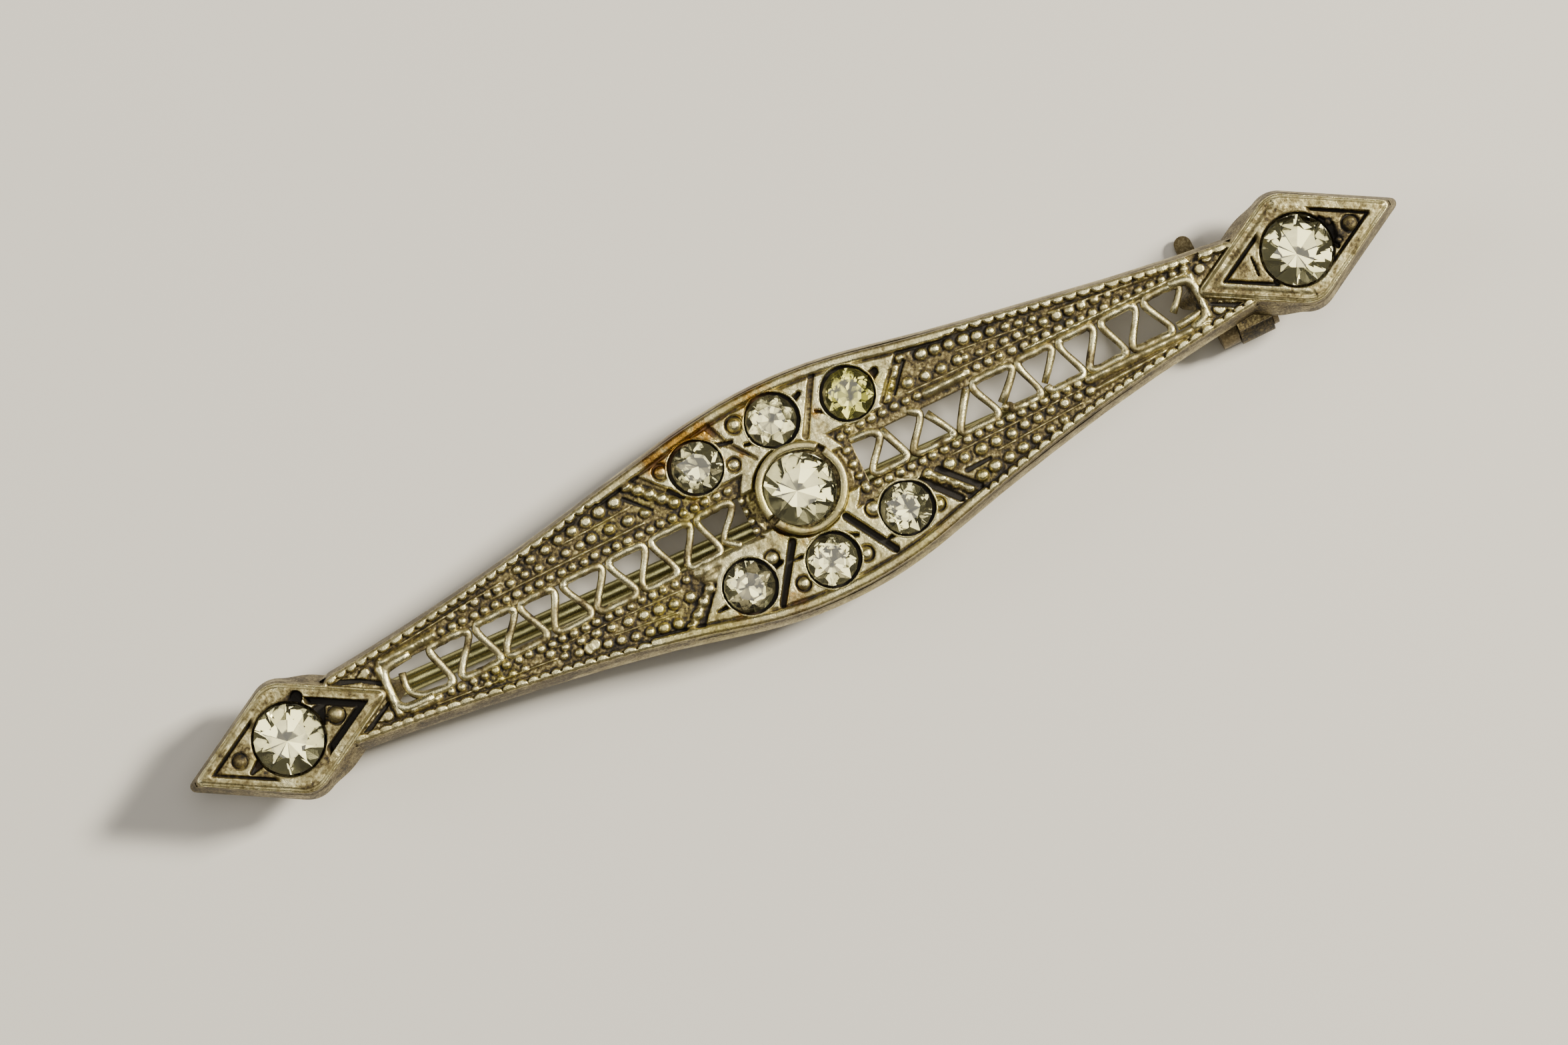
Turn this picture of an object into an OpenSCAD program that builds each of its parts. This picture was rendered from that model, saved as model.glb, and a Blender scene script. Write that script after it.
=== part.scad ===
// Bar brooch: a pierced cast bar with a lozenge at each end, nine set stones,
// a pin stem on a riveted hinge, and a turning safety catch.
// X runs along the bar toward the catch, Y across it and Z up through the face.
// It lies on its back: z = 0 is the surface under the hinge ears and the catch.

/* [Bar] */
// Length over the outer points of the two lozenges
overall_l = 60; // [59:0.5:61]
// Width of the face at its widest, between the outer edges of the rims
face_w = 10.12; // [9.8:0.1:10.4]
// Radius of the outward curve of each long edge
bulge_r = 22; // [21:0.5:23]
// Half the length of the outward curve
bulge_half = 5.2; // [4.8:0.1:5.6]
// Radius of the inward curve from there to the lozenge
waist_r = 120; // [110:5:130]
// How far the centre motif sits toward the catch
centre_x = 0.5; // [0.3:0.1:0.7]
// Distance from the middle of the bar to the end of its long rims
rim_end_x = 22.8; // [22.6:0.1:23]
// Width of the plain rim along each long edge
rim_w = 0.42; // [0.38:0.02:0.46]
// Height of the side wall
wall_h = 1.8; // [1.7:0.1:1.9]
// How far the side wall spreads outward at its foot
flare = 0.3; // [0.25:0.05:0.35]
// Thickness of the plate under the beaded ground
plate_t = 0.9; // [0.8:0.05:1]
// Depth of the beaded ground under the rim
ground_deep = 0.3; // [0.26:0.02:0.34]
// Depth of the smooth centre panels under the rim
panel_deep = 0.1; // [0.08:0.02:0.12]
// Thickness of the side wall round the hollow back
back_wall = 0.75; // [0.7:0.05:0.8]

/* [Windows and lattice] */
// Height of the two long windows
window_h = 2; // [1.95:0.05:2.05]
// Outer end of the windows, from the middle of the bar
window_end_x = 19.95; // [19.8:0.05:20.1]
// Inner end of the windows, from the centre stone
window_in_d = 2.84; // [2.8:0.02:2.9]
// Thickness of the lattice wire
wire_t = 0.28; // [0.24:0.02:0.32]
// Length of one wave of the lattice
wave_l = 2.18; // [2.16:0.01:2.2]
// Width of each loop as a share of the wave
loop_share = 0.8; // [0.76:0.02:0.84]
// Depth of the top of the lattice under the beaded ground
wire_deep = 0.05; // [0:0.05:0.1]

/* [Lozenges] */
// Distance of each lozenge from the middle of the bar
lozenge_x = 25; // [24.9:0.05:25.1]
// Width of a lozenge's face before its two side corners are rounded
lozenge_w = 5.5; // [5.4:0.05:5.6]
// Radius of the rounded side corners
lozenge_round = 1.2; // [1.1:0.05:1.3]
// How far the walls of a lozenge spread outward at their foot
lozenge_flare = 0.32; // [0.28:0.02:0.36]
// Width of the lozenge's rim
lozenge_rim = 0.42; // [0.38:0.02:0.46]
// Width of the dark channel inside the rim
channel_w = 0.24; // [0.2:0.02:0.28]
// Rise of the lozenge's rim over the bar's rim
lozenge_rise = 0.15; // [0.1:0.05:0.2]
// Depth of the plates inside the channel under the lozenge's rim
inner_deep = 0.22; // [0.18:0.02:0.26]

/* [Stones] */
// Diameter of the centre stone
centre_d = 3.3; // [3.25:0.05:3.35]
// Diameter of the stone in each lozenge
end_d = 3.2; // [3.15:0.05:3.25]
// Diameter of the six small stones
small_d = 2.34; // [2.3:0.02:2.38]
// Crown height as a share of the diameter
crown_share = 0.17; // [0.15:0.01:0.19]
// Depth below the girdle as a share of the diameter
pavilion_share = 0.4; // [0.38:0.01:0.42]
// Width of the table as a share of the diameter
table_share = 0.56; // [0.52:0.02:0.6]
// Thickness of the girdle
girdle_t = 0.08; // [0.06:0.01:0.1]
// Open gap round each girdle
seat_gap = 0.1; // [0.08:0.01:0.12]
// Rise of the centre stone's ring over the bar's rim
bezel_rise = 0.35; // [0.3:0.05:0.4]
// Wall of the centre stone's ring
bezel_w = 0.32; // [0.28:0.02:0.36]

/* [Beads] */
// Diameter of the beads beside the windows
inner_bead_d = 0.42; // [0.38:0.02:0.44]
// Pitch of the beads beside the windows
inner_bead_pitch = 0.545; // [0.53:0.005:0.56]
// Diameter of the smallest and largest beads in the outer rows
outer_bead_d = [0.36, 0.54]; // [0.3:0.02:0.6]
// Pitch of the beads in the outer rows
outer_bead_pitch = 0.78; // [0.74:0.02:0.82]

/* [Hinge and pin] */
// Distance of the hinge rivet from the middle of the bar
hinge_x = 22.4; // [22.2:0.1:22.6]
// Diameter of the pin stem
stem_d = 0.95; // [0.85:0.05:1.05]
// Diameter of the hinge rivet
rivet_d = 0.8; // [0.75:0.05:0.85]
// Running gap round the rivet
rivet_gap = 0.03; // [0.02:0.01:0.04]
// Thickness of each hinge ear
ear_t = 0.5; // [0.45:0.05:0.55]
// Width of the stem's eye between the ears
eye_w = 1.16; // [1.12:0.02:1.2]

/* [Catch] */
// Distance of the catch housing's inner face from the middle of the bar
catch_x = 21.3; // [21.2:0.05:21.4]
// Length of the catch housing
housing_l = 1.6; // [1.5:0.05:1.7]
// Outer diameter of the catch housing
housing_d = 3; // [2.9:0.05:3.1]
// Bore of the catch housing
housing_bore = 2.3; // [2.25:0.05:2.35]
// Bore of the turning sleeve
sleeve_bore = 1.3; // [1.25:0.05:1.35]
// Width of the mouth that lets the pin in
mouth_w = 1.16; // [1.12:0.02:1.2]
// Running gap between sleeve and housing
sleeve_gap = 0.05; // [0.04:0.01:0.06]
// Reach of the lever tab from the sleeve's axis
tab_reach = 4.3; // [4.2:0.05:4.4]

/* [Hidden] */
$fn = 48;
bead_fn = 16;
overlap = 0.05;

// Levels from the floor up
axis_z = sqrt(pow(housing_d / 2, 2) - pow(mouth_w / 2, 2));
back_z = 3;
rim_z = back_z + wall_h;
ground_z = rim_z - ground_deep;
panel_z = rim_z - panel_deep;
under_z = ground_z - plate_t;
lozenge_z = rim_z + lozenge_rise;
inner_z = lozenge_z - inner_deep;
bezel_z = rim_z + bezel_rise;
sky_z = 8;

// Outline of the bar: an outward arc over the centre and an inward arc beside it
bulge_a = asin(bulge_half / bulge_r);
bulge_cy = face_w / 2 - bulge_r;
waist_cx = bulge_half + waist_r * sin(bulge_a);
waist_cy = bulge_cy + (bulge_r + waist_r) * cos(bulge_a);
function half_w(d) = d <= bulge_half
    ? bulge_cy + sqrt(pow(bulge_r, 2) - pow(d, 2))
    : waist_cy - sqrt(pow(waist_r, 2) - pow(waist_cx - d, 2));
bulge_steps = 12;
waist_steps = 6;
left_waist = rim_end_x + centre_x - bulge_half;
right_waist = rim_end_x - centre_x - bulge_half;
stations = concat(
    [for (i = [waist_steps:-1:1]) -bulge_half - left_waist * i / waist_steps],
    [for (i = [0:bulge_steps]) bulge_half * (2 * i / bulge_steps - 1)],
    [for (i = [1:waist_steps]) bulge_half + right_waist * i / waist_steps]);

// The casting is a little uneven: how far its upper and lower edge lie above an even
// outline, by the distance from the centre motif
upper_up = [[-9, 0.19], [-3, 0], [4, 0], [12, 0.19], [14, 0.19], [21, 0.09]];
lower_up = [[-16, 0], [-9, 0.1], [-7, 0.1], [-2, 0], [2, 0], [15, 0.27]];
function edge_y(d, s) = s * half_w(abs(d)) + lookup(d, s > 0 ? upper_up : lower_up);
function bar_chain(o) = [for (d = stations)
    [centre_x + d, (edge_y(d, 1) - edge_y(d, -1)) / 2 + o, (edge_y(d, 1) + edge_y(d, -1)) / 2]];

// Outline of a lozenge, offset by o: blunt points and rounded side corners
tip_out = 0.32;
lozenge_half_l = overall_l / 2 - lozenge_x - tip_out;
lozenge_a = atan(lozenge_w / 2 / lozenge_half_l);
corner_steps = 6;
point_blunt = 0.04;
least_round = 0.2;
function lozenge_chain(o) =
    let (tip = lozenge_half_l + (o > 0 ? tip_out : o / sin(lozenge_a)),
         blunt = o > 0 ? (o / sin(lozenge_a) - tip_out) * tan(lozenge_a) : point_blunt,
         top = lozenge_w / 2 + o / cos(lozenge_a),
         r = max(lozenge_round + o, least_round),
         cy = top - r / cos(lozenge_a))
    concat([[-tip, blunt]],
           [for (i = [0:corner_steps])
               let (t = 90 + lozenge_a * (1 - 2 * i / corner_steps))
               [r * cos(t), cy + r * sin(t)]],
           [[tip, blunt]]);

// The lozenge at the catch end sits a little off the axis
catch_end_y = 0.13;
function lozenge_at(s) = [s * lozenge_x, s > 0 ? catch_end_y : 0, 0];

// Shapes on both sides of an axis, from a chain of half widths: x, half width, axis
function axis_y(p) = len(p) > 2 ? p[2] : 0;
function above(p) = axis_y(p) + p[1];
function below(p) = axis_y(p) - p[1];
function both_sides(chain) = concat([for (p = chain) [p[0], above(p)]],
    [for (i = [len(chain) - 1:-1:0]) [chain[i][0], below(chain[i])]]);
module slab(chain, z0, z1) {
    translate([0, 0, z0]) linear_extrude(z1 - z0) polygon(both_sides(chain));
}
module drafted(face, z_face, foot, z_foot) {
    n = len(face);
    ring = concat(
        [for (p = face) [p[0], above(p), z_face]],
        [for (p = face) [p[0], below(p), z_face]],
        [for (p = foot) [p[0], above(p), z_foot]],
        [for (p = foot) [p[0], below(p), z_foot]]);
    polyhedron(ring, concat(
        [for (i = [0:n - 2]) [i, i + 1, n + i + 1, n + i]],
        [for (i = [0:n - 2]) [3 * n + i, 3 * n + i + 1, 2 * n + i + 1, 2 * n + i]],
        [for (i = [0:n - 2]) [2 * n + i, 2 * n + i + 1, i + 1, i]],
        [for (i = [0:n - 2]) [n + i, n + i + 1, 3 * n + i + 1, 3 * n + i]],
        [[0, n, 3 * n, 2 * n], [n - 1, 3 * n - 1, 4 * n - 1, 2 * n - 1]]));
}

// The stones: place, diameter and height of the girdle
end_girdle_deep = 0.24;
centre_girdle_deep = 0.22;
small_girdle_deep = 0.12;
end_girdle_z = lozenge_z - end_girdle_deep;
centre_girdle_z = bezel_z - centre_girdle_deep;
small_girdle_z = panel_z - small_girdle_deep;
stone_out = 0.1;
centre_at = [centre_x - 0.1, 0.08];
SEATS = [
    // name, x, y, diameter, girdle height
    ["stone_centre", centre_at[0], centre_at[1], centre_d, centre_girdle_z],
    ["stone_hinge_end", -lozenge_x - stone_out, 0, end_d, end_girdle_z],
    ["stone_catch_end", lozenge_x + stone_out, 0, end_d, end_girdle_z],
    ["stone_upper_left", centre_x - 3.85, 2.98, small_d, small_girdle_z],
    ["stone_upper_middle", centre_x + 0.05, 3.42, small_d, small_girdle_z],
    ["stone_upper_right", centre_x + 3.7, 3, small_d, small_girdle_z],
    ["stone_lower_left", centre_x - 4.05, -2.86, small_d, small_girdle_z],
    ["stone_lower_middle", centre_x - 0.2, -3.4, small_d, small_girdle_z],
    ["stone_lower_right", centre_x + 3.8, -2.76, small_d, small_girdle_z]];
seat_slack = 0.05;
cup_wall = 0.35;
cup_z = back_z + overlap;

// A stone: table and star, kite and girdle facets over a pointed back
module stone(name) {
    s = SEATS[search([name], SEATS)[0]];
    r = s[3] / 2;
    n = 8;
    top = s[3] * crown_share;
    table = [for (k = [0:n - 1])
        [r * table_share * cos(45 * k), r * table_share * sin(45 * k), top]];
    upper = [for (j = [0:2 * n - 1]) [r * cos(22.5 * j), r * sin(22.5 * j), 0]];
    lower = [for (p = upper) [p[0], p[1], -girdle_t]];
    culet = [[0, 0, -s[3] * pavilion_share]];
    U = n;
    L = 3 * n;
    faces = concat(
        [[for (k = [n - 1:-1:0]) k]],
        [for (k = [0:n - 1]) [k, U + 2 * k + 1, U + 2 * k]],
        [for (k = [0:n - 1]) [k, (k + 1) % n, U + 2 * k + 1]],
        [for (k = [0:n - 1]) [(k + 1) % n, U + (2 * k + 2) % (2 * n), U + 2 * k + 1]],
        [for (j = [0:2 * n - 1])
            [U + j, U + (j + 1) % (2 * n), L + (j + 1) % (2 * n), L + j]],
        [for (j = [0:2 * n - 1]) [L + j, L + (j + 1) % (2 * n), 5 * n]]);
    color("#d9dcd2") translate([s[1], s[2], s[4]])
        polyhedron(concat(table, upper, lower, culet), faces);
}

// The hole for one stone: straight round the girdle, then a cone under it
module seat(s) {
    r = s[3] / 2;
    deep = s[3] * pavilion_share;
    translate([s[1], s[2], s[4] - girdle_t - seat_slack])
        cylinder(h = sky_z - s[4], r = r + seat_gap);
    translate([s[1], s[2], s[4] - deep - 2 * seat_slack])
        cylinder(h = deep, r1 = seat_slack, r2 = r + seat_slack);
}
module cup(s) {
    translate([s[1], s[2], cup_z])
        cylinder(h = ground_z - overlap - cup_z, r = s[3] / 2 + seat_gap + cup_wall);
}

// Lattice: a wire that swings from the top to the bottom edge of a window
wave_h = window_h / 2 - wire_t / 4;
corner_cut = 0.2;
function wave(c) =
    let (h = wave_h, w = wave_l * loop_share / 2, k = corner_cut, q = wave_l / 2)
    [[c - w, h - k], [c - w + k, h], [c + w - k, h], [c + w, h - k],
     [c + q - w, k - h], [c + q - w + k, -h], [c + q + w - k, -h], [c + q + w, k - h]];
function unit(v) = v / norm(v);
sharpest = 0.6;
function normal_at(path, i) =
    let (a = unit(path[min(i + 1, len(path) - 1)] - path[min(i, len(path) - 2)]),
         b = unit(path[max(i, 1)] - path[max(i - 1, 0)]),
         m = unit(a + b))
    [-m[1], m[0]] / max(m * a, sharpest);
module wire(path) {
    t = wire_t / 2;
    side = [for (i = [0:len(path) - 1]) path[i] + t * normal_at(path, i)];
    back = [for (i = [len(path) - 1:-1:0]) path[i] - t * normal_at(path, i)];
    translate([0, 0, ground_z - wire_deep - wire_t])
        linear_extrude(wire_t) polygon(concat(side, back));
}
loops = 7;
left_wave_x = -16.85;
right_wave_x = 5.72;
right_start = [[-1.5, wave_h], [-1.25, wave_h - corner_cut]];
broken_end = [[-19.25, 0.45], [-19.2, -0.35], [-18.95, -0.7], [-18.55, -0.88],
              [-17.75, -wave_h], [-17.55, 0.2 - wave_h]];
function joined(parts) = [for (p = parts) for (q = p) q];
left_path = concat(broken_end,
    joined([for (i = [0:loops - 2]) wave(left_wave_x + i * wave_l)]),
    [for (i = [0:5]) wave(left_wave_x + (loops - 1) * wave_l)[i]],
    [[centre_x - window_in_d + overlap, -wave_h]]);
right_path = concat(
    [for (p = right_start) [right_wave_x + p[0], p[1]]],
    [for (i = [4:7]) wave(right_wave_x - wave_l)[i]],
    joined([for (i = [0:loops - 2]) wave(right_wave_x + i * wave_l)]),
    [for (i = [0:5]) wave(right_wave_x + (loops - 1) * wave_l)[i]],
    [[window_end_x + overlap, -wave_h]]);
module window(x0, x1) {
    translate([x0, -window_h / 2, 0]) cube([x1 - x0, window_h, sky_z]);
}

// Beads: rounded grains standing on the ground
module bead(x, y, d, z) {
    translate([x, y, z]) sphere(d = d, $fn = bead_fn);
}
bead_inset = 0.38;
inner_bead_y = window_h / 2 + bead_inset;
inner_bead_d0 = 3.15;
inner_bead_n = [30, 29];
module inner_beads(side, n) {
    for (i = [0:n - 1], s = [-1, 1])
        bead(centre_x + side * (inner_bead_d0 + i * inner_bead_pitch),
            s * inner_bead_y, inner_bead_d, ground_z);
}
middle_bead_y = 2.08;
middle_bead_d0 = 6.85;
middle_bead_n = 7;
outer_bead_d0 = 7.6;
outer_bead_n = 9;
function row_bead_d(i, n) = outer_bead_d[1] + (outer_bead_d[0] - outer_bead_d[1]) * i / n;
module outer_beads(side) {
    for (i = [0:middle_bead_n - 1], s = [-1, 1])
        bead(centre_x + side * (middle_bead_d0 + i * outer_bead_pitch), s * middle_bead_y,
            row_bead_d(i, middle_bead_n), ground_z);
    for (i = [0:outer_bead_n - 1], s = [-1, 1]) {
        d = side * (outer_bead_d0 + i * outer_bead_pitch);
        bead(centre_x + d, edge_y(d, s) - s * (rim_w + bead_inset),
            row_bead_d(i, outer_bead_n), ground_z);
    }
}

// Rope ridges: a short string of grains on each diagonal edge of the panels
rope_in = [5.35, 1.95];
rope_out = [6.95, 3.5];
rope_n = 5;
rope_d = 0.5;
rope_rise = 0.06;
module rope(sx, sy) {
    for (i = [0:rope_n - 1]) {
        p = rope_in + (rope_out - rope_in) * i / (rope_n - 1);
        bead(centre_x + sx * p[0], sy * p[1], rope_d, ground_z + rope_rise);
    }
}

// The dark lines between the panels and beside the rope ridges end at the rim
groove_w = 0.26;
groove_deep = 0.34;
panel_groove = [[1.5, 1.9], [2.75, 4.75]];
rope_groove = [rope_in + [-0.42, 0.1], rope_out + [-0.32, 0.6]];
module in_quarter(sx, sy) {
    mirror([sx < 0 ? 1 : 0, 0, 0]) mirror([0, sy < 0 ? 1 : 0, 0]) children();
}
module groove(line) {
    v = line[1] - line[0];
    for (sx = [-1, 1], sy = [-1, 1])
        translate([centre_x, 0, panel_z - groove_deep]) in_quarter(sx, sy)
            translate([line[0][0], line[0][1], 0]) rotate([0, 0, atan2(v[1], v[0])])
                translate([0, -groove_w / 2, 0]) cube([norm(v), groove_w, sky_z]);
}
module grooves() {
    intersection() {
        slab(bar_chain(-rim_w), 0, sky_z);
        union() {
            groove(panel_groove);
            groove(rope_groove);
        }
    }
}

// Smooth centre panels above and below the windows
panel_y = 1.72;
panel_low = 5.1;
panel_high = 8.7;
module panels(z0, z1) {
    for (s = [-1, 1])
        translate([centre_x, 0, z0]) linear_extrude(z1 - z0)
            polygon([[-panel_low, s * panel_y], [panel_low, s * panel_y],
                     [panel_high, s * face_w / 2], [-panel_high, s * face_w / 2]]);
}
panel_beads = [
    // x from the centre stone, y, diameter
    [-1.6, 3.98, 0.6], [-5.4, 3.5, 0.56], [-2.3, 2.3, 0.5], [-2.62, -2.18, 0.56],
    [2.45, -2.12, 0.6], [-1.8, -3.78, 0.5], [1.2, -3.8, 0.5], [5.3, -3.2, 0.5]];

// The bar blank: side walls, rims, sunk ground and hollow back
module blank() {
    drafted(bar_chain(0), rim_z, bar_chain(flare), back_z);
    for (s = [-1, 1])
        translate(lozenge_at(s))
            drafted(lozenge_chain(0), lozenge_z, lozenge_chain(lozenge_flare), back_z);
}
back_end_x = 18.6;
module hollow_back() {
    difference() {
        intersection() {
            slab(bar_chain(-back_wall), back_z - 1, under_z);
            translate([-back_end_x, -face_w, 0]) cube([2 * back_end_x, 2 * face_w, sky_z]);
        }
        for (s = SEATS) cup(s);
    }
    for (s = [-1, 1])
        difference() {
            translate(lozenge_at(s))
                slab(lozenge_chain(-back_wall), back_z - 1, under_z);
            for (t = SEATS) cup(t);
        }
}
module ground() {
    difference() {
        slab(bar_chain(-rim_w), ground_z, rim_z + overlap);
        panels(0, sky_z);
        translate(centre_at)
            cylinder(h = sky_z, d = centre_d + 2 * (seat_gap + bezel_w));
        for (s = [-1, 1])
            translate(lozenge_at(s)) slab(lozenge_chain(-overlap), 0, sky_z);
    }
    intersection() {
        slab(bar_chain(-rim_w), panel_z, rim_z + overlap);
        panels(0, sky_z);
    }
}
channel_deep = 0.3;
lozenge_bead_x = 2.5;
lozenge_bead_d = 0.6;
module channels() {
    for (s = [-1, 1])
        translate(lozenge_at(s)) {
            slab(lozenge_chain(-lozenge_rim), inner_z, sky_z);
            difference() {
                slab(lozenge_chain(-lozenge_rim), inner_z - channel_deep, sky_z);
                slab(lozenge_chain(-lozenge_rim - channel_w), 0, sky_z);
            }
        }
}

// Hinge ears and catch housing, soldered to the back
hinge_y = 0.22;
stem_lean = 2;
ear_r = axis_z;
ear_gap = 0.08;
ear_y = eye_w / 2 + ear_gap;
module ears() {
    for (s = [-1, 1])
        translate([-hinge_x, hinge_y + s * (ear_y + ear_t / 2), axis_z])
            rotate([90, 0, 0]) {
                cylinder(h = ear_t, r = ear_r, center = true);
                translate([-ear_r, 0, -ear_t / 2])
                    cube([2 * ear_r, back_z + overlap - axis_z, ear_t]);
            }
}
module rivet_bore() {
    translate([-hinge_x, hinge_y, axis_z]) rotate([90, 0, 0])
        cylinder(h = 4 * (ear_y + ear_t), d = rivet_d + 2 * rivet_gap, center = true);
}
catch_y = -1.1;
housing_base_w = 2;
module along_x(x, y, l, d) {
    translate([x, y, axis_z]) rotate([0, 90, 0]) cylinder(h = l, d = d);
}
module mouth(x, l) {
    translate([x, catch_y - mouth_w / 2, axis_z - housing_d]) cube([l, mouth_w, housing_d]);
}
module housing() {
    difference() {
        union() {
            along_x(catch_x, catch_y, housing_l, housing_d);
            translate([catch_x, catch_y - housing_base_w / 2, axis_z])
                cube([housing_l, housing_base_w, back_z + overlap - axis_z]);
        }
        along_x(catch_x - 1, catch_y, housing_l + 2, housing_bore);
        mouth(catch_x - 1, housing_l + 2);
    }
}

module bar() {
    color("#b9b09a") {
        difference() {
            union() {
                difference() {
                    blank();
                    ground();
                    channels();
                    hollow_back();
                    grooves();
                    window(-window_end_x, centre_x - window_in_d);
                    window(centre_x + window_in_d, window_end_x);
                }
                translate([centre_at[0], centre_at[1], under_z])
                    cylinder(h = bezel_z - under_z, d = centre_d + 2 * (seat_gap + bezel_w));
                cup(SEATS[0]);
                ears();
            }
            for (s = SEATS) seat(s);
            rivet_bore();
        }
        housing();
        wire(left_path);
        wire(right_path);
        inner_beads(-1, inner_bead_n[0]);
        inner_beads(1, inner_bead_n[1]);
        outer_beads(-1);
        outer_beads(1);
        for (sx = [-1, 1], sy = [-1, 1]) rope(sx, sy);
        for (b = panel_beads) bead(centre_x + b[0], b[1], b[2], panel_z);
        for (s = [-1, 1], t = [-1, 1])
            translate(lozenge_at(s)) bead(t * lozenge_bead_x, 0, lozenge_bead_d, inner_z);
    }
}

// Pin stem: a flat eye and root on the rivet, then a straight wire with a long point
root_l = 2.4;
root_w = 1.08;
root_h = 1.3;
eye_r = ear_r - 0.25;
point_x = 12;
neck_x = 20;
neck_d = 0.6;
tip_x = 23.7;
tip_d = 0.16;
module pin_stem() {
    color("#a8925a") difference() {
        translate([-hinge_x, hinge_y, axis_z]) {
            rotate([90, 0, 0]) cylinder(h = eye_w, r = eye_r, center = true);
            rotate([0, 0, -stem_lean]) {
                translate([0, -root_w / 2, -root_h / 2]) cube([root_l, root_w, root_h]);
                rotate([0, 90, 0]) rotate_extrude() translate([0, hinge_x])
                    polygon([[0, root_l - hinge_x], [stem_d / 2, root_l - hinge_x],
                             [stem_d / 2, point_x], [neck_d / 2, neck_x],
                             [tip_d / 2, tip_x], [0, tip_x]]);
            }
        }
        rivet_bore();
    }
}

// Hinge rivet: a plain shank with a low head outside each ear
head_t = 0.22;
head_d = 1.3;
head_gap = 0.03;
module hinge_rivet() {
    half = ear_y + ear_t + head_gap;
    color("#9c8f78") translate([-hinge_x, hinge_y, axis_z]) rotate([90, 0, 0]) {
        cylinder(h = 2 * half, d = rivet_d, center = true);
        for (s = [-1, 1])
            translate([0, 0, s * (half + head_t / 2)])
                cylinder(h = head_t, d = head_d, center = true);
    }
}

// Catch sleeve: a split tube that turns in the housing, with a lever tab outside it.
// Its mouth faces down, and the tip of the tab comes down to the surface.
flange_l = 0.8;
flange_d = 2.7;
lip_l = 0.25;
lip_d = 2.6;
end_gap = 0.06;
tab_t = 0.5;
tab_drop = asin(axis_z / norm([tab_reach, tab_t / 2])) - atan(tab_t / 2 / tab_reach);
module lever_tab(x) {
    l = tab_reach - flange_l / 2;
    translate([x, catch_y, axis_z]) rotate([-tab_drop, 0, 0]) {
        translate([0, 0, -tab_t / 2]) cube([flange_l, l, tab_t]);
        translate([flange_l / 2, l, 0]) cylinder(h = tab_t, d = flange_l, center = true);
    }
}
module catch_lever() {
    x0 = catch_x - end_gap - flange_l;
    x1 = catch_x + housing_l + end_gap + lip_l;
    color("#8e7c52") difference() {
        union() {
            along_x(x0, catch_y, x1 - x0, housing_bore - 2 * sleeve_gap);
            along_x(x0, catch_y, flange_l, flange_d);
            along_x(x1 - lip_l, catch_y, lip_l, lip_d);
            lever_tab(x0);
        }
        along_x(x0 - 1, catch_y, x1 - x0 + 2, sleeve_bore);
        mouth(x0 - 1, x1 - x0 + 2);
    }
}

bar();
stone("stone_centre");  // stone_centre
stone("stone_hinge_end");  // stone_hinge_end
stone("stone_catch_end");  // stone_catch_end
stone("stone_upper_left");  // stone_upper_left
stone("stone_upper_middle");  // stone_upper_middle
stone("stone_upper_right");  // stone_upper_right
stone("stone_lower_left");  // stone_lower_left
stone("stone_lower_middle");  // stone_lower_middle
stone("stone_lower_right");  // stone_lower_right
pin_stem();
hinge_rivet();
catch_lever();
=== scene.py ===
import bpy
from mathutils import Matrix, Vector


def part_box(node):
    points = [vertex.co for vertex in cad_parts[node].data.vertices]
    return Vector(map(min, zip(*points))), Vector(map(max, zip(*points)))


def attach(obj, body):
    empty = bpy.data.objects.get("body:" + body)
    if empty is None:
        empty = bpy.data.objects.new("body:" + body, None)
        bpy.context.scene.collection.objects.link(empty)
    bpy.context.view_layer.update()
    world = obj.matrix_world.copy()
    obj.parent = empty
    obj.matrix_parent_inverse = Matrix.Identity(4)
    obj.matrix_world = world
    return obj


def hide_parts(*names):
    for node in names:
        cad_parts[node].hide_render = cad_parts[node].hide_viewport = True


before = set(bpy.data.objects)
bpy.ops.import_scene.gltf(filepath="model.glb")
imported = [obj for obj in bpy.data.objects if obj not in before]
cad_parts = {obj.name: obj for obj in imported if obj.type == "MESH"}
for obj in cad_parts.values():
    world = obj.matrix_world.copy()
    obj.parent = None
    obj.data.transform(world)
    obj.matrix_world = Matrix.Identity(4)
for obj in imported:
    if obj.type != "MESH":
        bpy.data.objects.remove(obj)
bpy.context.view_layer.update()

import math
import random

import bmesh
import bpy
import numpy as np
from mathutils import Matrix, Vector, noise

mm = 0.001

# Camera. The photograph looks down on the brooch from a little below the bar, with
# practically no perspective, and the bar rises to the right across the picture.
view_tilt = math.radians(3)
bar_slope = math.radians(25.9)
view_distance = 350 * mm
seen_from, seen_to = 1 * mm, 5
picture_px = (2352, 1568)
picture_px_per_mm = 33.5
bar_middle_px = (1189.6, 741.8)
face_level = 4.8 * mm
sensor = 36 * mm

level_right = Vector((1, 0, 0))
level_up = Vector((0, math.cos(view_tilt), math.sin(view_tilt)))
toward_camera = Vector((0, -math.sin(view_tilt), math.cos(view_tilt)))
view_right = level_right * math.cos(bar_slope) - level_up * math.sin(bar_slope)
view_up = level_right * math.sin(bar_slope) + level_up * math.cos(bar_slope)
px = mm / picture_px_per_mm
aim = (Vector((0, 0, face_level))
       - view_right * (bar_middle_px[0] - picture_px[0] / 2) * px
       + view_up * (bar_middle_px[1] - picture_px[1] / 2) * px)


def add_object(name, data):
    thing = bpy.data.objects.new(name, data)
    bpy.context.scene.collection.objects.link(thing)
    return thing


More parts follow.
